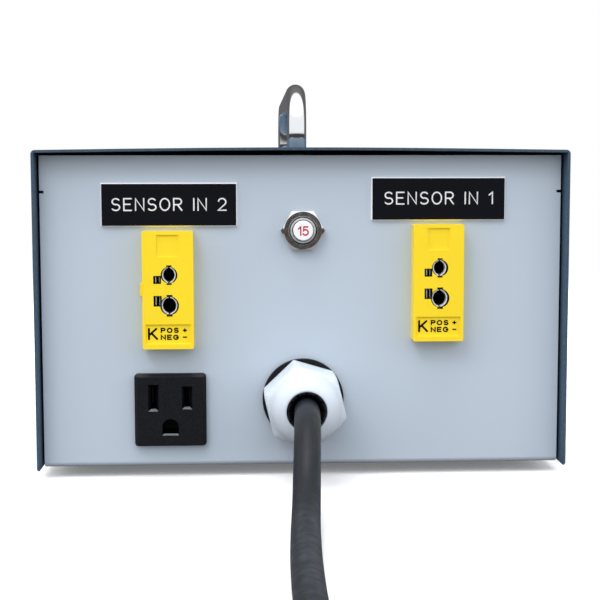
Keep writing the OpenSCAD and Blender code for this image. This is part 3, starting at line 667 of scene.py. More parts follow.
def lay_text(text, h, gap, x0=None, y0=0.0, stretch=1.0):
    """stroke paths in mm; centred on x = 0 unless x0 is given"""
    x, out = 0.0, []
    for ch in text:
        w, strokes = GLYPH[ch]
        for s in strokes:
            out.append([((x + px * stretch) * h, py * h + y0) for px, py in s])
        x += w * stretch + gap
    total = (x - gap) * h
    dx = -total / 2 if x0 is None else x0
    return [[(px + dx, py) for px, py in s] for s in out], total


def ribbons(paths, width, place, w0, w1):
    """closed prisms along stroke paths, with round ends"""
    verts, faces = [], []
    hw = width / 2
    for P in paths:
        Q = [Vector(p) for p in P]
        closed = (Q[0] - Q[-1]).length < 1e-5 and len(Q) > 3
        if closed:
            Q = Q[:-1]
        n = len(Q)
        L, Rr = [], []
        for i in range(n):
            a = Q[(i - 1) % n] if (closed or i > 0) else None
            c = Q[(i + 1) % n] if (closed or i < n - 1) else None
            d1 = (Q[i] - a).normalized() if a is not None else None
            d2 = (c - Q[i]).normalized() if c is not None else None
            d1 = d1 or d2
            d2 = d2 or d1
            nrm = Vector((-(d1 + d2).y, (d1 + d2).x))
            if nrm.length < 1e-6:
                nrm = Vector((-d1.y, d1.x))
            nrm.normalize()
            k = 1 / max(0.5, nrm.dot(Vector((-d1.y, d1.x))))
            L.append(Q[i] + nrm * hw * k)
            Rr.append(Q[i] - nrm * hw * k)
        loop = []
        if closed:
            base = len(verts)
            for w in (w0, w1):
                for p in L:
                    verts.append(place(p.x, p.y, w))
                for p in Rr:
                    verts.append(place(p.x, p.y, w))
            for i in range(n):
                j = (i + 1) % n
                l0, l1, r0, r1 = base + i, base + j, base + n + i, base + n + j
                faces += [(l0, l1, r1, r0), (l0 + 2 * n, r0 + 2 * n, r1 + 2 * n, l1 + 2 * n),
                          (l0, l0 + 2 * n, l1 + 2 * n, l1), (r0, r1, r1 + 2 * n, r0 + 2 * n)]
            continue
        loop = list(L)
        d = (Q[-1] - Q[-2]).normalized()
        a0 = math.atan2(d.x, -d.y)
        for i in range(1, 8):
            a = math.atan2(L[-1].y - Q[-1].y, L[-1].x - Q[-1].x) - math.pi * i / 8
            loop.append(Q[-1] + Vector((math.cos(a), math.sin(a))) * hw)
        loop += list(reversed(Rr))
        for i in range(1, 8):
            a = math.atan2(Rr[0].y - Q[0].y, Rr[0].x - Q[0].x) - math.pi * i / 8
            loop.append(Q[0] + Vector((math.cos(a), math.sin(a))) * hw)
        base, k = len(verts), len(loop)
        for w in (w0, w1):
            for p in loop:
                verts.append(place(p.x, p.y, w))
        # strip faces between the two sides keep concave letters right
        nl = n
        capA = list(range(nl - 1, nl + 7)) + [nl + 7]
        for top in (0, k):
            for i in range(nl - 1):
                l0, l1 = i, i + 1
                r0, r1 = nl + 7 + (nl - 1 - i), nl + 7 + (nl - 2 - i)
                f = (base + top + l0, base + top + l1, base + top + r1, base + top + r0)
                faces.append(f if top == 0 else f[::-1])
            fa = [base + top + i for i in capA]
            faces.append(tuple(fa) if top == 0 else tuple(fa[::-1]))
            fb = [base + top + i for i in ([2 * nl + 6] + list(range(2 * nl + 7, k)) + [0])]
            faces.append(tuple(fb) if top == 0 else tuple(fb[::-1]))
        for i in range(k):
            j = (i + 1) % k
            faces.append((base + i, base + k + i, base + k + j, base + j))
    return verts, faces


def ink(name, paths, width, place, w0, w1, mat, body="case", slot=None):
    v, f = ribbons(paths, width, place, w0, w1)
    return mesh_obj(name, v, f, mat, body=body, slot=slot, smooth=False)


def frustum_plate(name, w, h, z0, z1, inset, place, mat, r=0.25, slot=None, replaces=(), body="case"):
    """a rectangular plate with bevelled edges, corner radius r"""
    def loop(ww, hh, rr, lev):
        pts = []
        for sx, sy, a0 in ((1, 1, 0), (-1, 1, 90), (-1, -1, 180), (1, -1, 270)):
            for i in range(5):
                a = math.radians(a0 + 90 * i / 4)
                pts.append(place(sx * (ww / 2 - rr) + rr * math.cos(a), sy * (hh / 2 - rr) + rr * math.sin(a), lev))
        return pts
    levels = [(w, h, z0), (w, h, z0 + 0.02), (w - 2 * inset, h - 2 * inset, z1)]
    verts, faces = [], []
    for ww, hh, lev in levels:
        verts += loop(ww, hh, r, lev)
    n = 20
    for k in range(len(levels) - 1):
        for i in range(n):
            j = (i + 1) % n
            faces.append((k * n + i, k * n + j, (k + 1) * n + j, (k + 1) * n + i))
    faces.append(tuple(range(n)))
    faces.append(tuple((len(levels) - 1) * n + i for i in range(n)))
    return mesh_obj(name, verts, faces, mat, body=body, slot=slot, smooth=False, replaces=replaces)


def cut(target, cutters):
    for c in cutters:
        b = target.modifiers.new("cut", "BOOLEAN")
        b.operation = "DIFFERENCE"
        b.solver = "EXACT"
        b.use_self = True
        b.object = c
    bpy.context.view_layer.update()
    dg = bpy.context.evaluated_depsgraph_get()
    me = bpy.data.meshes.new_from_object(target.evaluated_get(dg))
    target.modifiers.clear()
    target.data = me
    for c in cutters:
        bpy.data.objects.remove(c)


# ------------------------------------------------------------------ case
tidy("chassis", M["panel"], 0.22, seg=3, flat=0.4)
tidy("cover", M["cover"], 0.26, seg=4, flat=0.04)
tidy("cover_screws", M["zinc"], 0.12)
tidy("cover_clinch_nuts", M["zinc"], 0.1)
tidy("handle_screws", M["zinc"], 0.2)
tidy("handle_washers", M["zinc"], 0.1)
tidy("rubber_feet", M["rubber"], 0.4, seg=3)
tidy("foot_screws", M["zinc"], 0.2)
tidy("foot_nuts", M["zinc"], 0.2)

# carry handle, swept smooth
hb0, hb1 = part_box("carry_handle")
rod_r = (hb1.x - hb0.x) / 2 / MM
yc = (hb0.y + hb1.y) / 2 / MM
y_leg = (hb1.y - hb0.y) / 2 / MM - rod_r
z_lo, z_hi = hb0.z / MM, hb1.z / MM - rod_r
BEND = 13.0
hp = [(yc - y_leg, z_lo + 0.02), (yc - y_leg, z_lo + 0.6)]
hp += [(yc - y_leg, z_hi - BEND - 4)]
hp += [(yc - y_leg + BEND - BEND * math.cos(math.radians(a)), z_hi - BEND + BEND * math.sin(math.radians(a))) for a in range(0, 91, 6)]
hp += [(yc - y_leg + BEND + (2 * y_leg - 2 * BEND) * k / 8, z_hi) for k in range(1, 8)]
hp += [(yc + y_leg - BEND + BEND * math.sin(math.radians(a)), z_hi - BEND + BEND * math.cos(math.radians(a))) for a in range(0, 91, 6)]
hp += [(yc + y_leg, z_hi - BEND - 4), (yc + y_leg, z_lo + 0.6), (yc + y_leg, z_lo + 0.02)]
verts, faces = [], []
SEG = 48
for i, (y, z) in enumerate(hp):
    a, b = hp[max(i - 1, 0)], hp[min(i + 1, len(hp) - 1)]
    t = Vector((0, b[0] - a[0], b[1] - a[1])).normalized()
    nrm = Vector((0, -t.z, t.y))
    rr = rod_r - (0.35 if i in (0, len(hp) - 1) else 0)
    for k in range(SEG):
        c, s = math.cos(2 * math.pi * k / SEG), math.sin(2 * math.pi * k / SEG)
        verts.append((rr * c * MM, (y + nrm.y * rr * s) * MM, (z + nrm.z * rr * s) * MM))
for i in range(len(hp) - 1):
    for k in range(SEG):
        j = (k + 1) % SEG
        faces.append((i * SEG + k, i * SEG + j, (i + 1) * SEG + j, (i + 1) * SEG + k))
faces.append(tuple(range(SEG)))
faces.append(tuple((len(hp) - 1) * SEG + k for k in range(SEG)))
mesh_obj("handle_rod", verts, faces, M["chrome"], slot="chrome_rod", replaces=("carry_handle",), sharp=50)

# ------------------------------------------------------------------ nameplates
for side, text in (("left", "SENSOR IN 2"), ("right", "SENSOR IN 1")):
    node = "nameplate_" + side
    a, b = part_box(node)
    cx, cz = (a.x + b.x) / 2 / MM, (a.z + b.z) / 2 / MM
    w, h = (b.x - a.x) / MM, (b.z - a.z) / MM
    pl = at_rear(cx, cz)
    frustum_plate("plate_core_" + side, w, h, 0.0, 1.16, 0.42, pl, M["plate_core"], r=0.3, slot="plate_black", replaces=(node,))
    cap = frustum_plate("plate_face_" + side, w - 0.86, h - 0.86, 1.14, 1.28, 0.08, pl, M["plate_face"], r=0.25, slot="plate_black")
    paths, tw = lay_text(text, 4.35, 0.36, y0=-2.17 + (0.15 if side == "left" else 0.3), stretch=1.06)
    v, f = ribbons(paths, 0.56, pl, 0.9, 1.6)
    c = mesh_obj("cutter", v, f, M["plate_core"], smooth=False)
    cut(cap, [c])

# ------------------------------------------------------------------ thermocouple jacks
def star_liner(name, cx, cz, r, key_w, key_h, w_front, w_back, off, mat):
    n = 72
    R = r - off
    verts, faces = [], []
    loop = []
    for i in range(n):
        a = 2 * math.pi * i / n
        c, s = abs(math.cos(a)), abs(math.sin(a))
        rect = min((key_w / 2 - off) / max(c, 1e-6), (key_h / 2 - off) / max(s, 1e-6))
        rr = max(R, rect)
        loop.append((rr * math.cos(a), rr * math.sin(a)))
    pl = at_rear(cx, cz)
    for w in (w_front, w_back):
        for x, y in loop:
            verts.append(pl(x, y, w))
    for x, y in loop:
        verts.append(pl(x * 0.985, y * 0.985, w_front))
    for x, y in loop:
        verts.append(pl(x * 0.985, y * 0.985, w_back + 0.3))
    for i in range(n):
        j = (i + 1) % n
        faces += [(i, j, n + j, n + i), (i, 2 * n + i, 2 * n + j, j), (2 * n + i, 3 * n + i, 3 * n + j, 2 * n + j)]
    faces.append(tuple(range(n, 2 * n)))
    faces.append(tuple(range(3 * n, 4 * n)))
    return mesh_obj(name, verts, faces, mat, slot="phenolic_black", sharp=25)


def box_liner(name, cx, cz, w, h, w_front, w_back, off, mat, t=0.06):
    pl = at_rear(cx, cz)
    verts, faces = [], []
    for (ww, hh, lev) in ((w / 2 - off, h / 2 - off, w_front), (w / 2 - off, h / 2 - off, w_back), (w / 2 - off - t, h / 2 - off - t, w_front), (w / 2 - off - t, h / 2 - off - t, w_back + 0.3)):
        for sx, sy in ((1, 1), (-1, 1), (-1, -1), (1, -1)):
            verts.append(pl(sx * ww, sy * hh, lev))
    for i in range(4):
        j = (i + 1) % 4
        faces += [(i, j, 4 + j, 4 + i), (i, 8 + i, 8 + j, j), (8 + i, 12 + i, 12 + j, 8 + j)]
    faces += [(4, 5, 6, 7), (12, 13, 14, 15)]
    return mesh_obj(name, verts, faces, mat, smooth=False, slot="phenolic_black")


def rbox(name, pl, x0, x1, y0, y1, w0, w1, mat, r=0.2, body="case", slot=None, seg=2):
    """a box with all its edges rounded"""
    v = [pl(x, y, w) for x in (x0, x1) for y in (y0, y1) for w in (w0, w1)]
    f = [(0, 1, 3, 2), (4, 6, 7, 5), (0, 4, 5, 1), (2, 3, 7, 6), (0, 2, 6, 4), (1, 5, 7, 3)]
    o = mesh_obj(name, v, f, mat, body=body, slot=slot, smooth=True, sharp=180)
    if r:
        b = o.modifiers.new("bevel", "BEVEL")
        b.width = r * MM
        b.segments = seg
        b.limit_method = "NONE"
        b.harden_normals = True
    return o


for side in ("left", "right"):
    node = "sensor_jack_" + side
    tidy(node, M["yellow"], 0.2, seg=3)
    tidy("jack_contacts_" + side, M["leaf"], 0.06)
    a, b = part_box(node)
    cx, cz = (a.x + b.x) / 2 / MM, (a.z + b.z) / 2 / MM
    star_liner("socket_liner_pos_" + side, cx + 0.5, cz + 5.7, 3.1, 1.9, 7.3, 5.96, -11.9, 0.03, M["phenolic"])
    star_liner("socket_liner_neg_" + side, cx + 0.6, cz - 5.7, 3.5, 2.2, 8.1, 5.96, -11.9, 0.03, M["phenolic"])
    # painted shade: near-black sleeves over the barrels' inner walls and floors darken the bores
    for tag, (u, v, di, do) in {"pos": (0.4, 5.7, 4.2, 5.7), "neg": (0.5, -5.7, 5.0, 6.6)}.items():
        ri = di / 2 - 0.03
        revolve("barrel_liner_%s_%s" % (tag, side), [(do / 2 - 0.02, 2.3), (ri + 0.1, 2.3), (ri, 2.24), (ri, -10.5), (0.0, -10.5), (0.0, -10.4), (ri - 0.06, -10.4), (ri - 0.06, 2.28), (ri + 0.1, 2.34), (do / 2 - 0.02, 2.34)],
                at_rear(cx + u, cz + v), M["bore_painted_shade"], n=64, closed=True, slot="phenolic_black")
    box_liner("slot_liner_pos_" + side, cx - 3.9, cz + 3.95, 2.9, 3.0, 5.9, -8.9, 0.03, M["phenolic"])
    box_liner("slot_liner_neg_" + side, cx - 3.8, cz - 4.0, 3.0, 4.0, 5.9, -8.9, 0.03, M["phenolic"])
    pl = at_rear(cx, cz)
    rbox("slot_spring_pos_" + side, pl, -4.75, -4.25, 2.75, 5.15, -7, 5.3, M["spring"], 0.16, slot="nickel")
    rbox("slot_lip_pos_" + side, pl, -3.35, -2.95, 2.75, 5.15, -7, 4.6, M["spring"], 0.14, slot="nickel")
    rbox("slot_spring_neg_" + side, pl, -4.7, -4.2, -5.7, -2.3, -7, 5.3, M["spring"], 0.16, slot="nickel")
    rbox("slot_lip_neg_" + side, pl, -3.3, -2.9, -5.7, -2.3, -7, 4.6, M["spring"], 0.14, slot="nickel")
    # thermocouple type letter and polarity on the label
    paths = lay_text("K", 3.8, 0.3, x0=-7.2, y0=-18.15, stretch=1.2)[0]
    ink("label_type_" + side, paths, 0.76, pl, 5.46, 5.55, M["black_ink"])
    paths = lay_text("POS", 1.5, 0.62, x0=-2.6, y0=-15.7, stretch=1.45)[0] + lay_text("+", 1.7, 0.3, x0=5.6, y0=-15.8, stretch=1.3)[0]
    paths += lay_text("NEG", 1.5, 0.62, x0=-2.6, y0=-18.3, stretch=1.45)[0] + lay_text("-", 1.7, 0.3, x0=5.6, y0=-18.4, stretch=1.3)[0]
    ink("label_polarity_" + side, paths, 0.5, pl, 5.46, 5.55, M["black_ink"])
tidy("jack_clips", M["yellow"], 0.2)
tidy("jack_terminal_screws", M["brass"], 0.15)

# ------------------------------------------------------------------ breaker
tidy("breaker_body", M["phenolic"], 0.3)
tidy("breaker_button", M["button"], 0.3, seg=4)
tidy("breaker_terminals", M["brass"], 0.1)
BC = centre("breaker_button")
bx, bz = BC.x / MM, BC.z / MM
bpl = at_rear(bx, bz)
prof = [(4.1, 2.0), (4.1, 3.8), (4.3, 4.04), (4.62, 4.04), (4.8, 3.86), (4.86, 3.86), (5.26, 3.7), (5.38, 3.52), (5.36, 3.3)]
for i in range(2):
    prof += [(5.16, 3.22 - i * 0.28), (5.36, 3.12 - i * 0.28), (5.36, 3.06 - i * 0.28), (5.16, 2.96 - i * 0.28)]
prof += [(5.2, 2.5), (5.2, 2.0)]
revolve("breaker_bushing", prof, bpl, M["bushing"], n=96, closed=True, slot="chrome_rod", sharp=20)
# hex nut with a turned, flat front face and chamfered corners
verts, faces = [], []
NN = 240
rows = []
hexr = [7.2 / math.cos(math.radians(30 - abs(((360 * i / NN + 30) % 60) - 30))) for i in range(NN)]
for kind in range(3):
    rows.append([(hexr[i] if kind < 2 else 7.04, 360 * i / NN, (0.0, 2.2 + (8.9 - hexr[i]) * 0.6 / 1.86, 2.8)[kind]) for i in range(NN)])
for rr, w in ((6.45, 2.8), (6.42, 2.76), (6.32, 2.76), (6.29, 2.8), (5.72, 2.8), (5.66, 2.74), (5.5, 2.74), (5.42, 2.66), (5.42, 0.0)):
    rows.append([(rr, 360 * i / NN, w) for i in range(NN)])
for row in rows:
    verts += [bpl(r_ * math.cos(math.radians(t_)), r_ * math.sin(math.radians(t_)), w_) for r_, t_, w_ in row]
for a_ in range(len(rows)):
    b_ = (a_ + 1) % len(rows)
    for i in range(NN):
        j = (i + 1) % NN
        faces.append((a_ * NN + i, a_ * NN + j, b_ * NN + j, b_ * NN + i))
mesh_obj("breaker_hex_nut", verts, faces, M["nut_face"], slot="chrome_rod", replaces=("breaker_nut",), sharp=14)
ww = 5.8
pa, w1_ = lay_text("15", 3.05, 0.26, y0=-1.62, stretch=1.05)
btn_face = (PANEL_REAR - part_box("breaker_button")[0].y) / MM
ink("rating_number", pa, 0.56, bpl, btn_face - 0.02, btn_face + 0.03, M["red_ink"], body="breaker_push_button", slot="button_white")

# ------------------------------------------------------------------ outlet
oa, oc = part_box("outlet_body")
OX, OZ = (oa.x + oc.x) / 2, (oa.z + oc.z) / 2
tidy("outlet_body", M["outlet"], 0.18)
opl = at_rear(OX / MM, OZ / MM)


def ramp_piece(name, u, v0, half0, half1, rise, depth, w0=3.14):
    """the lead-in ramp at the bottom of a slot, coloured lighter grey than the outlet as a painted highlight on its
    up-facing slope
    """
    vv = []
    for hx, v_, w_ in ((half0, v0, w0), (half1, v0 + rise, w0 - depth), (half1, v0, w0 - depth), (half0, v0 - 0.0, w0 - 0.12)):
        vv += [opl(u - hx, v_, w_), opl(u + hx, v_, w_)]
    ff = [(0, 1, 3, 2), (2, 3, 5, 4), (4, 5, 7, 6), (6, 7, 1, 0), (0, 2, 4, 6), (1, 7, 5, 3)]
    return mesh_obj(name, vv, ff, M["slot_gloss_and_painted_highlight"], smooth=False, slot="outlet_black")


ramp_piece("slot_ramp_left", -6.35, -0.38, 1.9, 0.95, 0.85, 0.95)
ramp_piece("slot_ramp_right", 6.35, 0.32, 1.9, 0.95, 0.85, 0.95)
ramp_piece("slot_ramp_ground", 0, -9.58, 3.0, 2.8, 0.6, 0.7)
# painted shade: the contacts take the near-black brass that stands in for the shade in the slots
tidy("outlet_contacts", M["brass_painted_shade"], 0.08)

# ------------------------------------------------------------------ gland
tidy("gland_washer", M["washer"], 0.35, seg=3)
tidy("gland_body", M["nylon"], 0.3)
tidy("gland_locknut", M["nylon"], 0.4)
gpl = at_rear(GX, GZ)
AP, CORNER = 13.8, 43.5
dome = [(9.0, 15.2), (9.35, 15.9), (10.0, 16.4), (18.3, 16.4), (19.2, 15.9), (20.2, 14.75), (21.0, 13.75), (21.6, 13.25), (22.4, 13.0), (23.6, 12.86),
        (24.8, 12.62), (26.0, 12.25), (27.1, 11.72), (28.1, 11.0), (28.9, 10.15), (29.55, 9.2), (29.95, 8.4), (30.17, 7.9), (30.2, 7.6)]
nth = 720
verts, faces = [], []
rows = []
for w, pr in dome:
    row = []
    for i in range(nth):
        th = 360 * i / nth
        d = ((th - CORNER + 30) % 60) - 30
        # distance to the flat, with the corner rounded a little
        hx = AP / math.cos(math.radians(30 - abs(d)))
        hx = hx - 0.25 * math.exp(-(d / 3.0) ** 2)
        k = 0.25
        e = max(k - abs(hx - pr), 0) / k
        rr = min(hx, pr) - e * e * k * 0.25
        # fine moulded ribs beside the corners of the hexagon
        if w < 22.6 and 4.0 < abs(d) < 24.0:
            edge = min(1.0, (abs(d) - 4.0) / 2.0, (24.0 - abs(d)) / 4.0)
            rr -= 0.16 * edge * (0.5 + 0.5 * math.cos(2 * math.pi * d / 2.6))
        row.append(gpl(rr * math.cos(math.radians(th)), rr * math.sin(math.radians(th)), w))
    rows.append(row)
for w, rr in ((30.1, 7.38), (29.9, 7.28), (29.5, 7.25), (27.0, 7.25), (26.6, 8.5), (20.6, 8.5), (20.4, 11.0), (9.4, 11.0), (9.0, 11.3)):
    rows.append([gpl(rr * math.cos(2 * math.pi * i / nth), rr * math.sin(2 * math.pi * i / nth), w) for i in range(nth)])
for r_ in rows:
    verts += r_
nr = len(rows)
for a_ in range(nr):
    b_ = (a_ + 1) % nr
    for i in range(nth):
        j = (i + 1) % nth
        faces.append((a_ * nth + i, a_ * nth + j, b_ * nth + j, b_ * nth + i))
mesh_obj("dome_nut", verts, faces, M["nylon"], slot="nylon_white", replaces=("gland_dome_nut",), sharp=38)

# seal insert with soft fingers around the cord
prof = [(4.75, 12.1), (8.05, 12.1), (8.05, 19.9), (8.25, 20.3), (8.25, 26.2), (7.15, 26.4), (7.15, 27.2), (6.9, 27.55), (6.55, 27.55), (6.3, 27.2), (5.6, 25.2), (4.85, 23.4), (4.75, 22.8)]
revolve("seal_ring", prof, gpl, M["rubber"], n=96, closed=True, slot="rubber_black", replaces=("gland_seal",), sharp=30)
verts, faces = [], []
for k in range(12):
    a0 = 2 * math.pi * (k + 0.12) / 12
    a1 = 2 * math.pi * (k + 0.88) / 12
    base = len(verts)
    for (r0, r1, w) in ((6.5, 7.12, 29.0), (6.0, 7.12, 27.3), (5.2, 6.0, 25.3)):
        for a in (a0, (a0 + a1) / 2, a1):
            for r_ in (r0, r1):
                verts.append(gpl(r_ * math.cos(a), r_ * math.sin(a), w))
    for lv in range(2):
        o0, o1 = base + lv * 6, base + (lv + 1) * 6
        for p, q in ((0, 2), (2, 4)):
            faces += [(o0 + p, o0 + q, o1 + q, o1 + p), (o0 + p + 1, o1 + p + 1, o1 + q + 1, o0 + q + 1)]
        faces += [(o0, o1, o1 + 1, o0 + 1), (o0 + 4, o0 + 5, o1 + 5, o1 + 4)]
    for o_ in (base, base + 12):
        faces += [(o_, o_ + 1, o_ + 3, o_ + 2), (o_ + 2, o_ + 3, o_ + 5, o_ + 4)]
mesh_obj("seal_fingers", verts, faces, M["rubber"], slot="rubber_black", sharp=40)

# ------------------------------------------------------------------ plug
pa_, pb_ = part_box("plug_body")
bl0, bl1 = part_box("plug_blades")
ang = math.radians(9.7)
PLUG = Vector((-3.48, -432.2, 12.6))
pdir = Vector((math.sin(ang), -math.cos(ang), 0))
pside = Vector((math.cos(ang), math.sin(ang), 0))


def plug_at(u, v, w):
    p = PLUG + pside * u + Vector((0, 0, 1)) * v + pdir * w
    return Vector((p.x * MM, p.y * MM, p.z * MM))


def sup(a, hx, hy, n):
    c, s = math.cos(a), math.sin(a)
    r = (abs(c / hx) ** n + abs(s / hy) ** n) ** (-1 / n)
    return r * c, r * s


sect = []
for i in range(9):
    w = 0.2 + i * 2.3
    r0 = 5.6 + 1.7 * i / 8
    sect += [(w, r0, r0, 2.0), (w + 0.25, r0 + 0.12, r0 + 0.12, 2.0), (w + 1.25, r0 + 0.15, r0 + 0.15, 2.0), (w + 1.5, r0 - 0.02, r0 - 0.02, 2.0), (w + 1.6, r0 - 0.75, r0 - 0.75, 2.0), (w + 2.2, r0 - 0.7, r0 - 0.7, 2.0)]
sect += [(21.2, 7.5, 7.5, 2.0), (22.2, 8.6, 8.4, 2.4), (24.0, 10.9, 10.4, 3.2), (26.5, 12.2, 11.8, 4.2), (29, 12.5, 12.1, 5), (33, 12.2, 11.8, 5), (36, 12.2, 11.8, 5), (39, 12.6, 12.2, 5), (41.5, 12.9, 12.45, 5.5), (44.6, 12.95, 12.48, 6), (45.6, 12.7, 12.2, 6), (46.0, 12.2, 11.7, 6)]
verts, faces = [], []
SN = 64
for w, hx, hy, n in sect:
    for i in range(SN):
        x, y = sup(2 * math.pi * i / SN, hx, hy, n)
        verts.append(plug_at(x, y, w))
for k in range(len(sect) - 1):
    for i in range(SN):
        j = (i + 1) % SN
        faces.append((k * SN + i, k * SN + j, (k + 1) * SN + j, (k + 1) * SN + i))
faces.append(tuple(range(SN)))
faces.append(tuple((len(sect) - 1) * SN + i for i in range(SN)))
plug = mesh_obj("plug_shell", verts, faces, M["phenolic"], slot="cord_jacket", replaces=("plug_body",), sharp=40)
tidy("plug_blades", M["brass"], 0.3)

# ------------------------------------------------------------------ front panel
for c_, keys in (("process", 4), ("limit", 3)):
    tidy(c_ + "_controller_case", M["controller"], 0.4, seg=3)
    tidy(c_ + "_controller_window", M["window"], 0.15)
    for i in range(1, keys + 1):
        tidy("%s_key_%d" % (c_, i), M["key"], 0.45, seg=3)
    W0, W1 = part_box(c_ + "_controller_window")
    wx, wz = (W0.x + W1.x) / 2 / MM, (W0.z + W1.z) / 2 / MM
    wf = (W1.y - PANEL_FRONT) / MM
    fpl = at_front(wx, wz)
    segs = []
    for row, (zc, hh, dw, pitch) in enumerate(((5.2, 9.0, 5.2, 8.6), (-7.2, 6.4, 3.8, 6.6))):
        for d in range(4):
            x0 = (d - 1.5) * pitch - dw / 2
            sl = 0.08
            P = lambda px, py: (x0 + px * dw + (py - 0.5) * hh * sl, zc + (py - 0.5) * hh)
            g = 0.09
            for q in (((g, 1), (1 - g, 1)), ((g, 0.5), (1 - g, 0.5)), ((g, 0), (1 - g, 0)), ((0, 0.95), (0, 0.55)), ((0, 0.45), (0, 0.05)), ((1, 0.95), (1, 0.55)), ((1, 0.45), (1, 0.05))):
                segs.append([P(*q[0]), P(*q[1])])
    ink(c_ + "_display_segments", segs, 0.72, fpl, wf - 0.03, wf + 0.02, M["segment"], slot="window_dark")
    for i in range(1, keys + 1):
        a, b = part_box("%s_key_%d" % (c_, i))
        kx, kz = (a.x + b.x) / 2 / MM, (a.z + b.z) / 2 / MM
        kf = (b.y - PANEL_FRONT) / MM
        kpl = at_front(kx, kz)
        if i == keys:
            p = [[(-1.5, -0.9), (0, 1.1), (1.5, -0.9), (-1.4, -0.9)]]
        elif i == keys - 1:
            p = [[(-1.5, 0.9), (0, -1.1), (1.5, 0.9), (-1.4, 0.9)]]
        elif i == 1:
            p = [arc(0, 0, 1.3, 1.3, 60, 350, 16), [(0.6, 1.6), (0.65, 1.12), (1.2, 1.0)]]
        else:
            p = [[(-1.4, 0), (1.4, 0)], [(-1.4, 1.1), (1.4, 1.1)], [(-1.4, -1.1), (1.4, -1.1)]]
        ink("%s_key_icon_%d" % (c_, i), p, 0.38, kpl, kf - 0.02, kf + 0.02, M["white_ink"], body="%s_key%d" % (c_, i), slot="key_grey")
tidy("controller_clamps", M["controller"], 0.3)
tidy("power_switch_body", M["phenolic"], 0.3)
tidy("power_rocker", M["phenolic"], 0.35, seg=3)
tidy("reset_button_body", M["nickel"], 0.3, seg=3)
tidy("reset_button_cap", M["red_cap"], 0.5, seg=4)
tidy("reset_button_nut", M["nickel"], 0.3)
tidy("heater_lamp", M["lamp"], 0.25, seg=3)
revolve("lamp_bezel", rounded([(4.05, 0.2), (4.05, 1.9), (5.1, 1.75), (5.25, 1.2), (5.25, 0.0)], 0.25, 4) + [(4.05, 0.0)], at_front(centre("heater_lamp").x / MM, centre("heater_lamp").z / MM), M["nickel"], closed=True, slot="nickel")

# switch marks, on the tilted rocker
RJ = [j for j in frame["joints"] if j["name"] == "rocker_tilt"][0]
rpos = Vector(RJ["pos_m"])
tilt = math.radians(7)


def rocker_pl(u, v, w):
    """the rocker's own frame at rest: v up, w outwards, turned by its tilt"""
    y = w * math.cos(-tilt) + v * math.sin(-tilt) * -1
    z = v * math.cos(-tilt) + w * math.sin(-tilt)
    return Vector((rpos.x - u * MM, rpos.y + y * MM, rpos.z + z * MM))


def on_half(top):
    # the dished face: w goes from 3 at the middle to 4.6 at the ends
    def f(u, v, w):
        return rocker_pl(u, v, 3 + abs(v) * 1.6 / 11.2 + w)
    return f


ink("rocker_mark_on", [[(0, 5.2), (0, 8.6)]], 0.7, on_half(True), -0.05, 0.03, M["white_ink"], body="rocker", slot="phenolic_black")
ink("rocker_mark_off", [arc(0, -6.9, 1.6, 1.9, 90, 450, 24)], 0.7, on_half(False), -0.05, 0.03, M["white_ink"], body="rocker", slot="phenolic_black")

# ------------------------------------------------------------------ inside
tidy("solid_state_relay", M["relay_white"], 0.5)
tidy("heat_sink", M["aluminium"], 0.2)
tidy("safety_relay", M["relay_blue"], 0.5)
tidy("terminal_block", M["phenolic"], 0.3)
tidy("ground_stud", M["brass"], 0.2)
tidy("mains_wiring", M["wire_black"], 0)
tidy("sensor_wiring", M["wire_yellow"], 0)

# ------------------------------------------------------------------ hook-and-loop tie round the coil
TIE_A = math.radians(135)
tl = 0.625
turns_lo = [65.4 - 9.3 * (tl + k) for k in range(3)]
turns_hi = [37.5 + 9.3 * (tl + k) for k in range(2)]
centres = [(turns_lo[2], CR_Z), (turns_lo[0], CR_Z), (turns_hi[1], CR_Z + 9.3), (turns_hi[0], CR_Z + 9.3)]


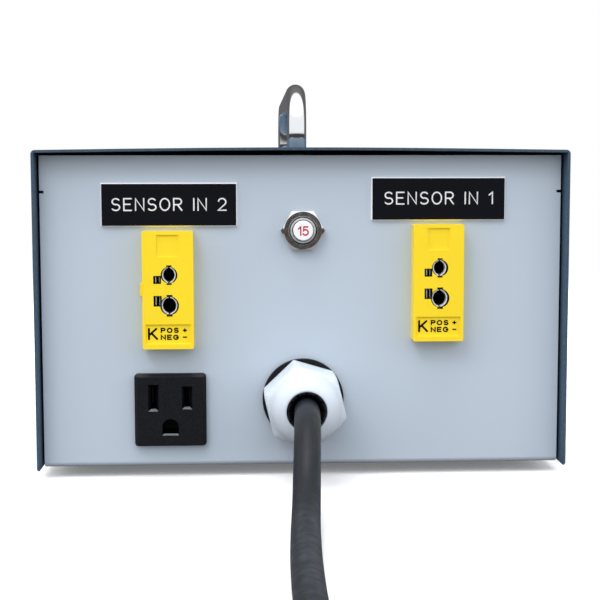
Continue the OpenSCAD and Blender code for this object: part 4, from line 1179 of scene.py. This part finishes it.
def band(off):
    """convex path round the bundle's turns, off mm outside the jackets"""
    pts = []
    for k in range(96):
        a = 2 * math.pi * k / 96
        d = (math.cos(a), math.sin(a))
        c = max(centres, key=lambda c_: c_[0] * d[0] + c_[1] * d[1])
        pts.append((c[0] + d[0] * (CORD_D / 2 + off), max(c[1] + d[1] * (CORD_D / 2 + off), 0.02 + 0.3 * (off < 0.5))))
    return pts


def tie_pt(r, z, u):
    """r from the coil's middle, u along the cord"""
    x = COIL_X + r * math.cos(TIE_A) - u * math.sin(TIE_A)
    y = COIL_Y + r * math.sin(TIE_A) + u * math.cos(TIE_A)
    return Vector((x * MM, y * MM, z * MM))


inner, outer = band(0.15), band(1.15)
verts, faces = [], []
for loop, us in ((inner, (-7.0, 7.0)), (outer, (-7.0, -6.6, 6.6, 7.0))):
    for u in us:
        for r_, z_ in loop:
            verts.append(tie_pt(r_, z_, u))
nb = 96
order = [0, 2, 3, 4, 5, 1]
for a_, b_ in zip(order, order[1:] + order[:1]):
    for i in range(nb):
        j = (i + 1) % nb
        faces.append((a_ * nb + i, a_ * nb + j, b_ * nb + j, b_ * nb + i))
tie = mesh_obj("cord_tie_band", verts, faces, M["tie"], slot="cord_jacket", sharp=60)
lap_in, lap_out = band(1.1), band(2.1)
verts, faces = [], []
K0, K1 = 4, 40
for i in range(K0, K1 + 1):
    t_ = min(1.0, (i - K0) / 3.0) if i - K0 < 3 else 1.0
    hw_ = 7.0 * (0.55 + 0.45 * math.sqrt(t_))
    for loop, us in ((lap_in, (-hw_, hw_)), (lap_out, (hw_, -hw_))):
        for u in us:
            verts.append(tie_pt(loop[i][0], loop[i][1], u))
for i in range(K1 - K0):
    for k in range(4):
        j = (k + 1) % 4
        faces.append((i * 4 + k, i * 4 + j, (i + 1) * 4 + j, (i + 1) * 4 + k))
faces += [(0, 1, 2, 3), tuple((K1 - K0) * 4 + k for k in range(4))]
lap = mesh_obj("cord_tie_lap", verts, faces, M["tie"], slot="cord_jacket", sharp=60)
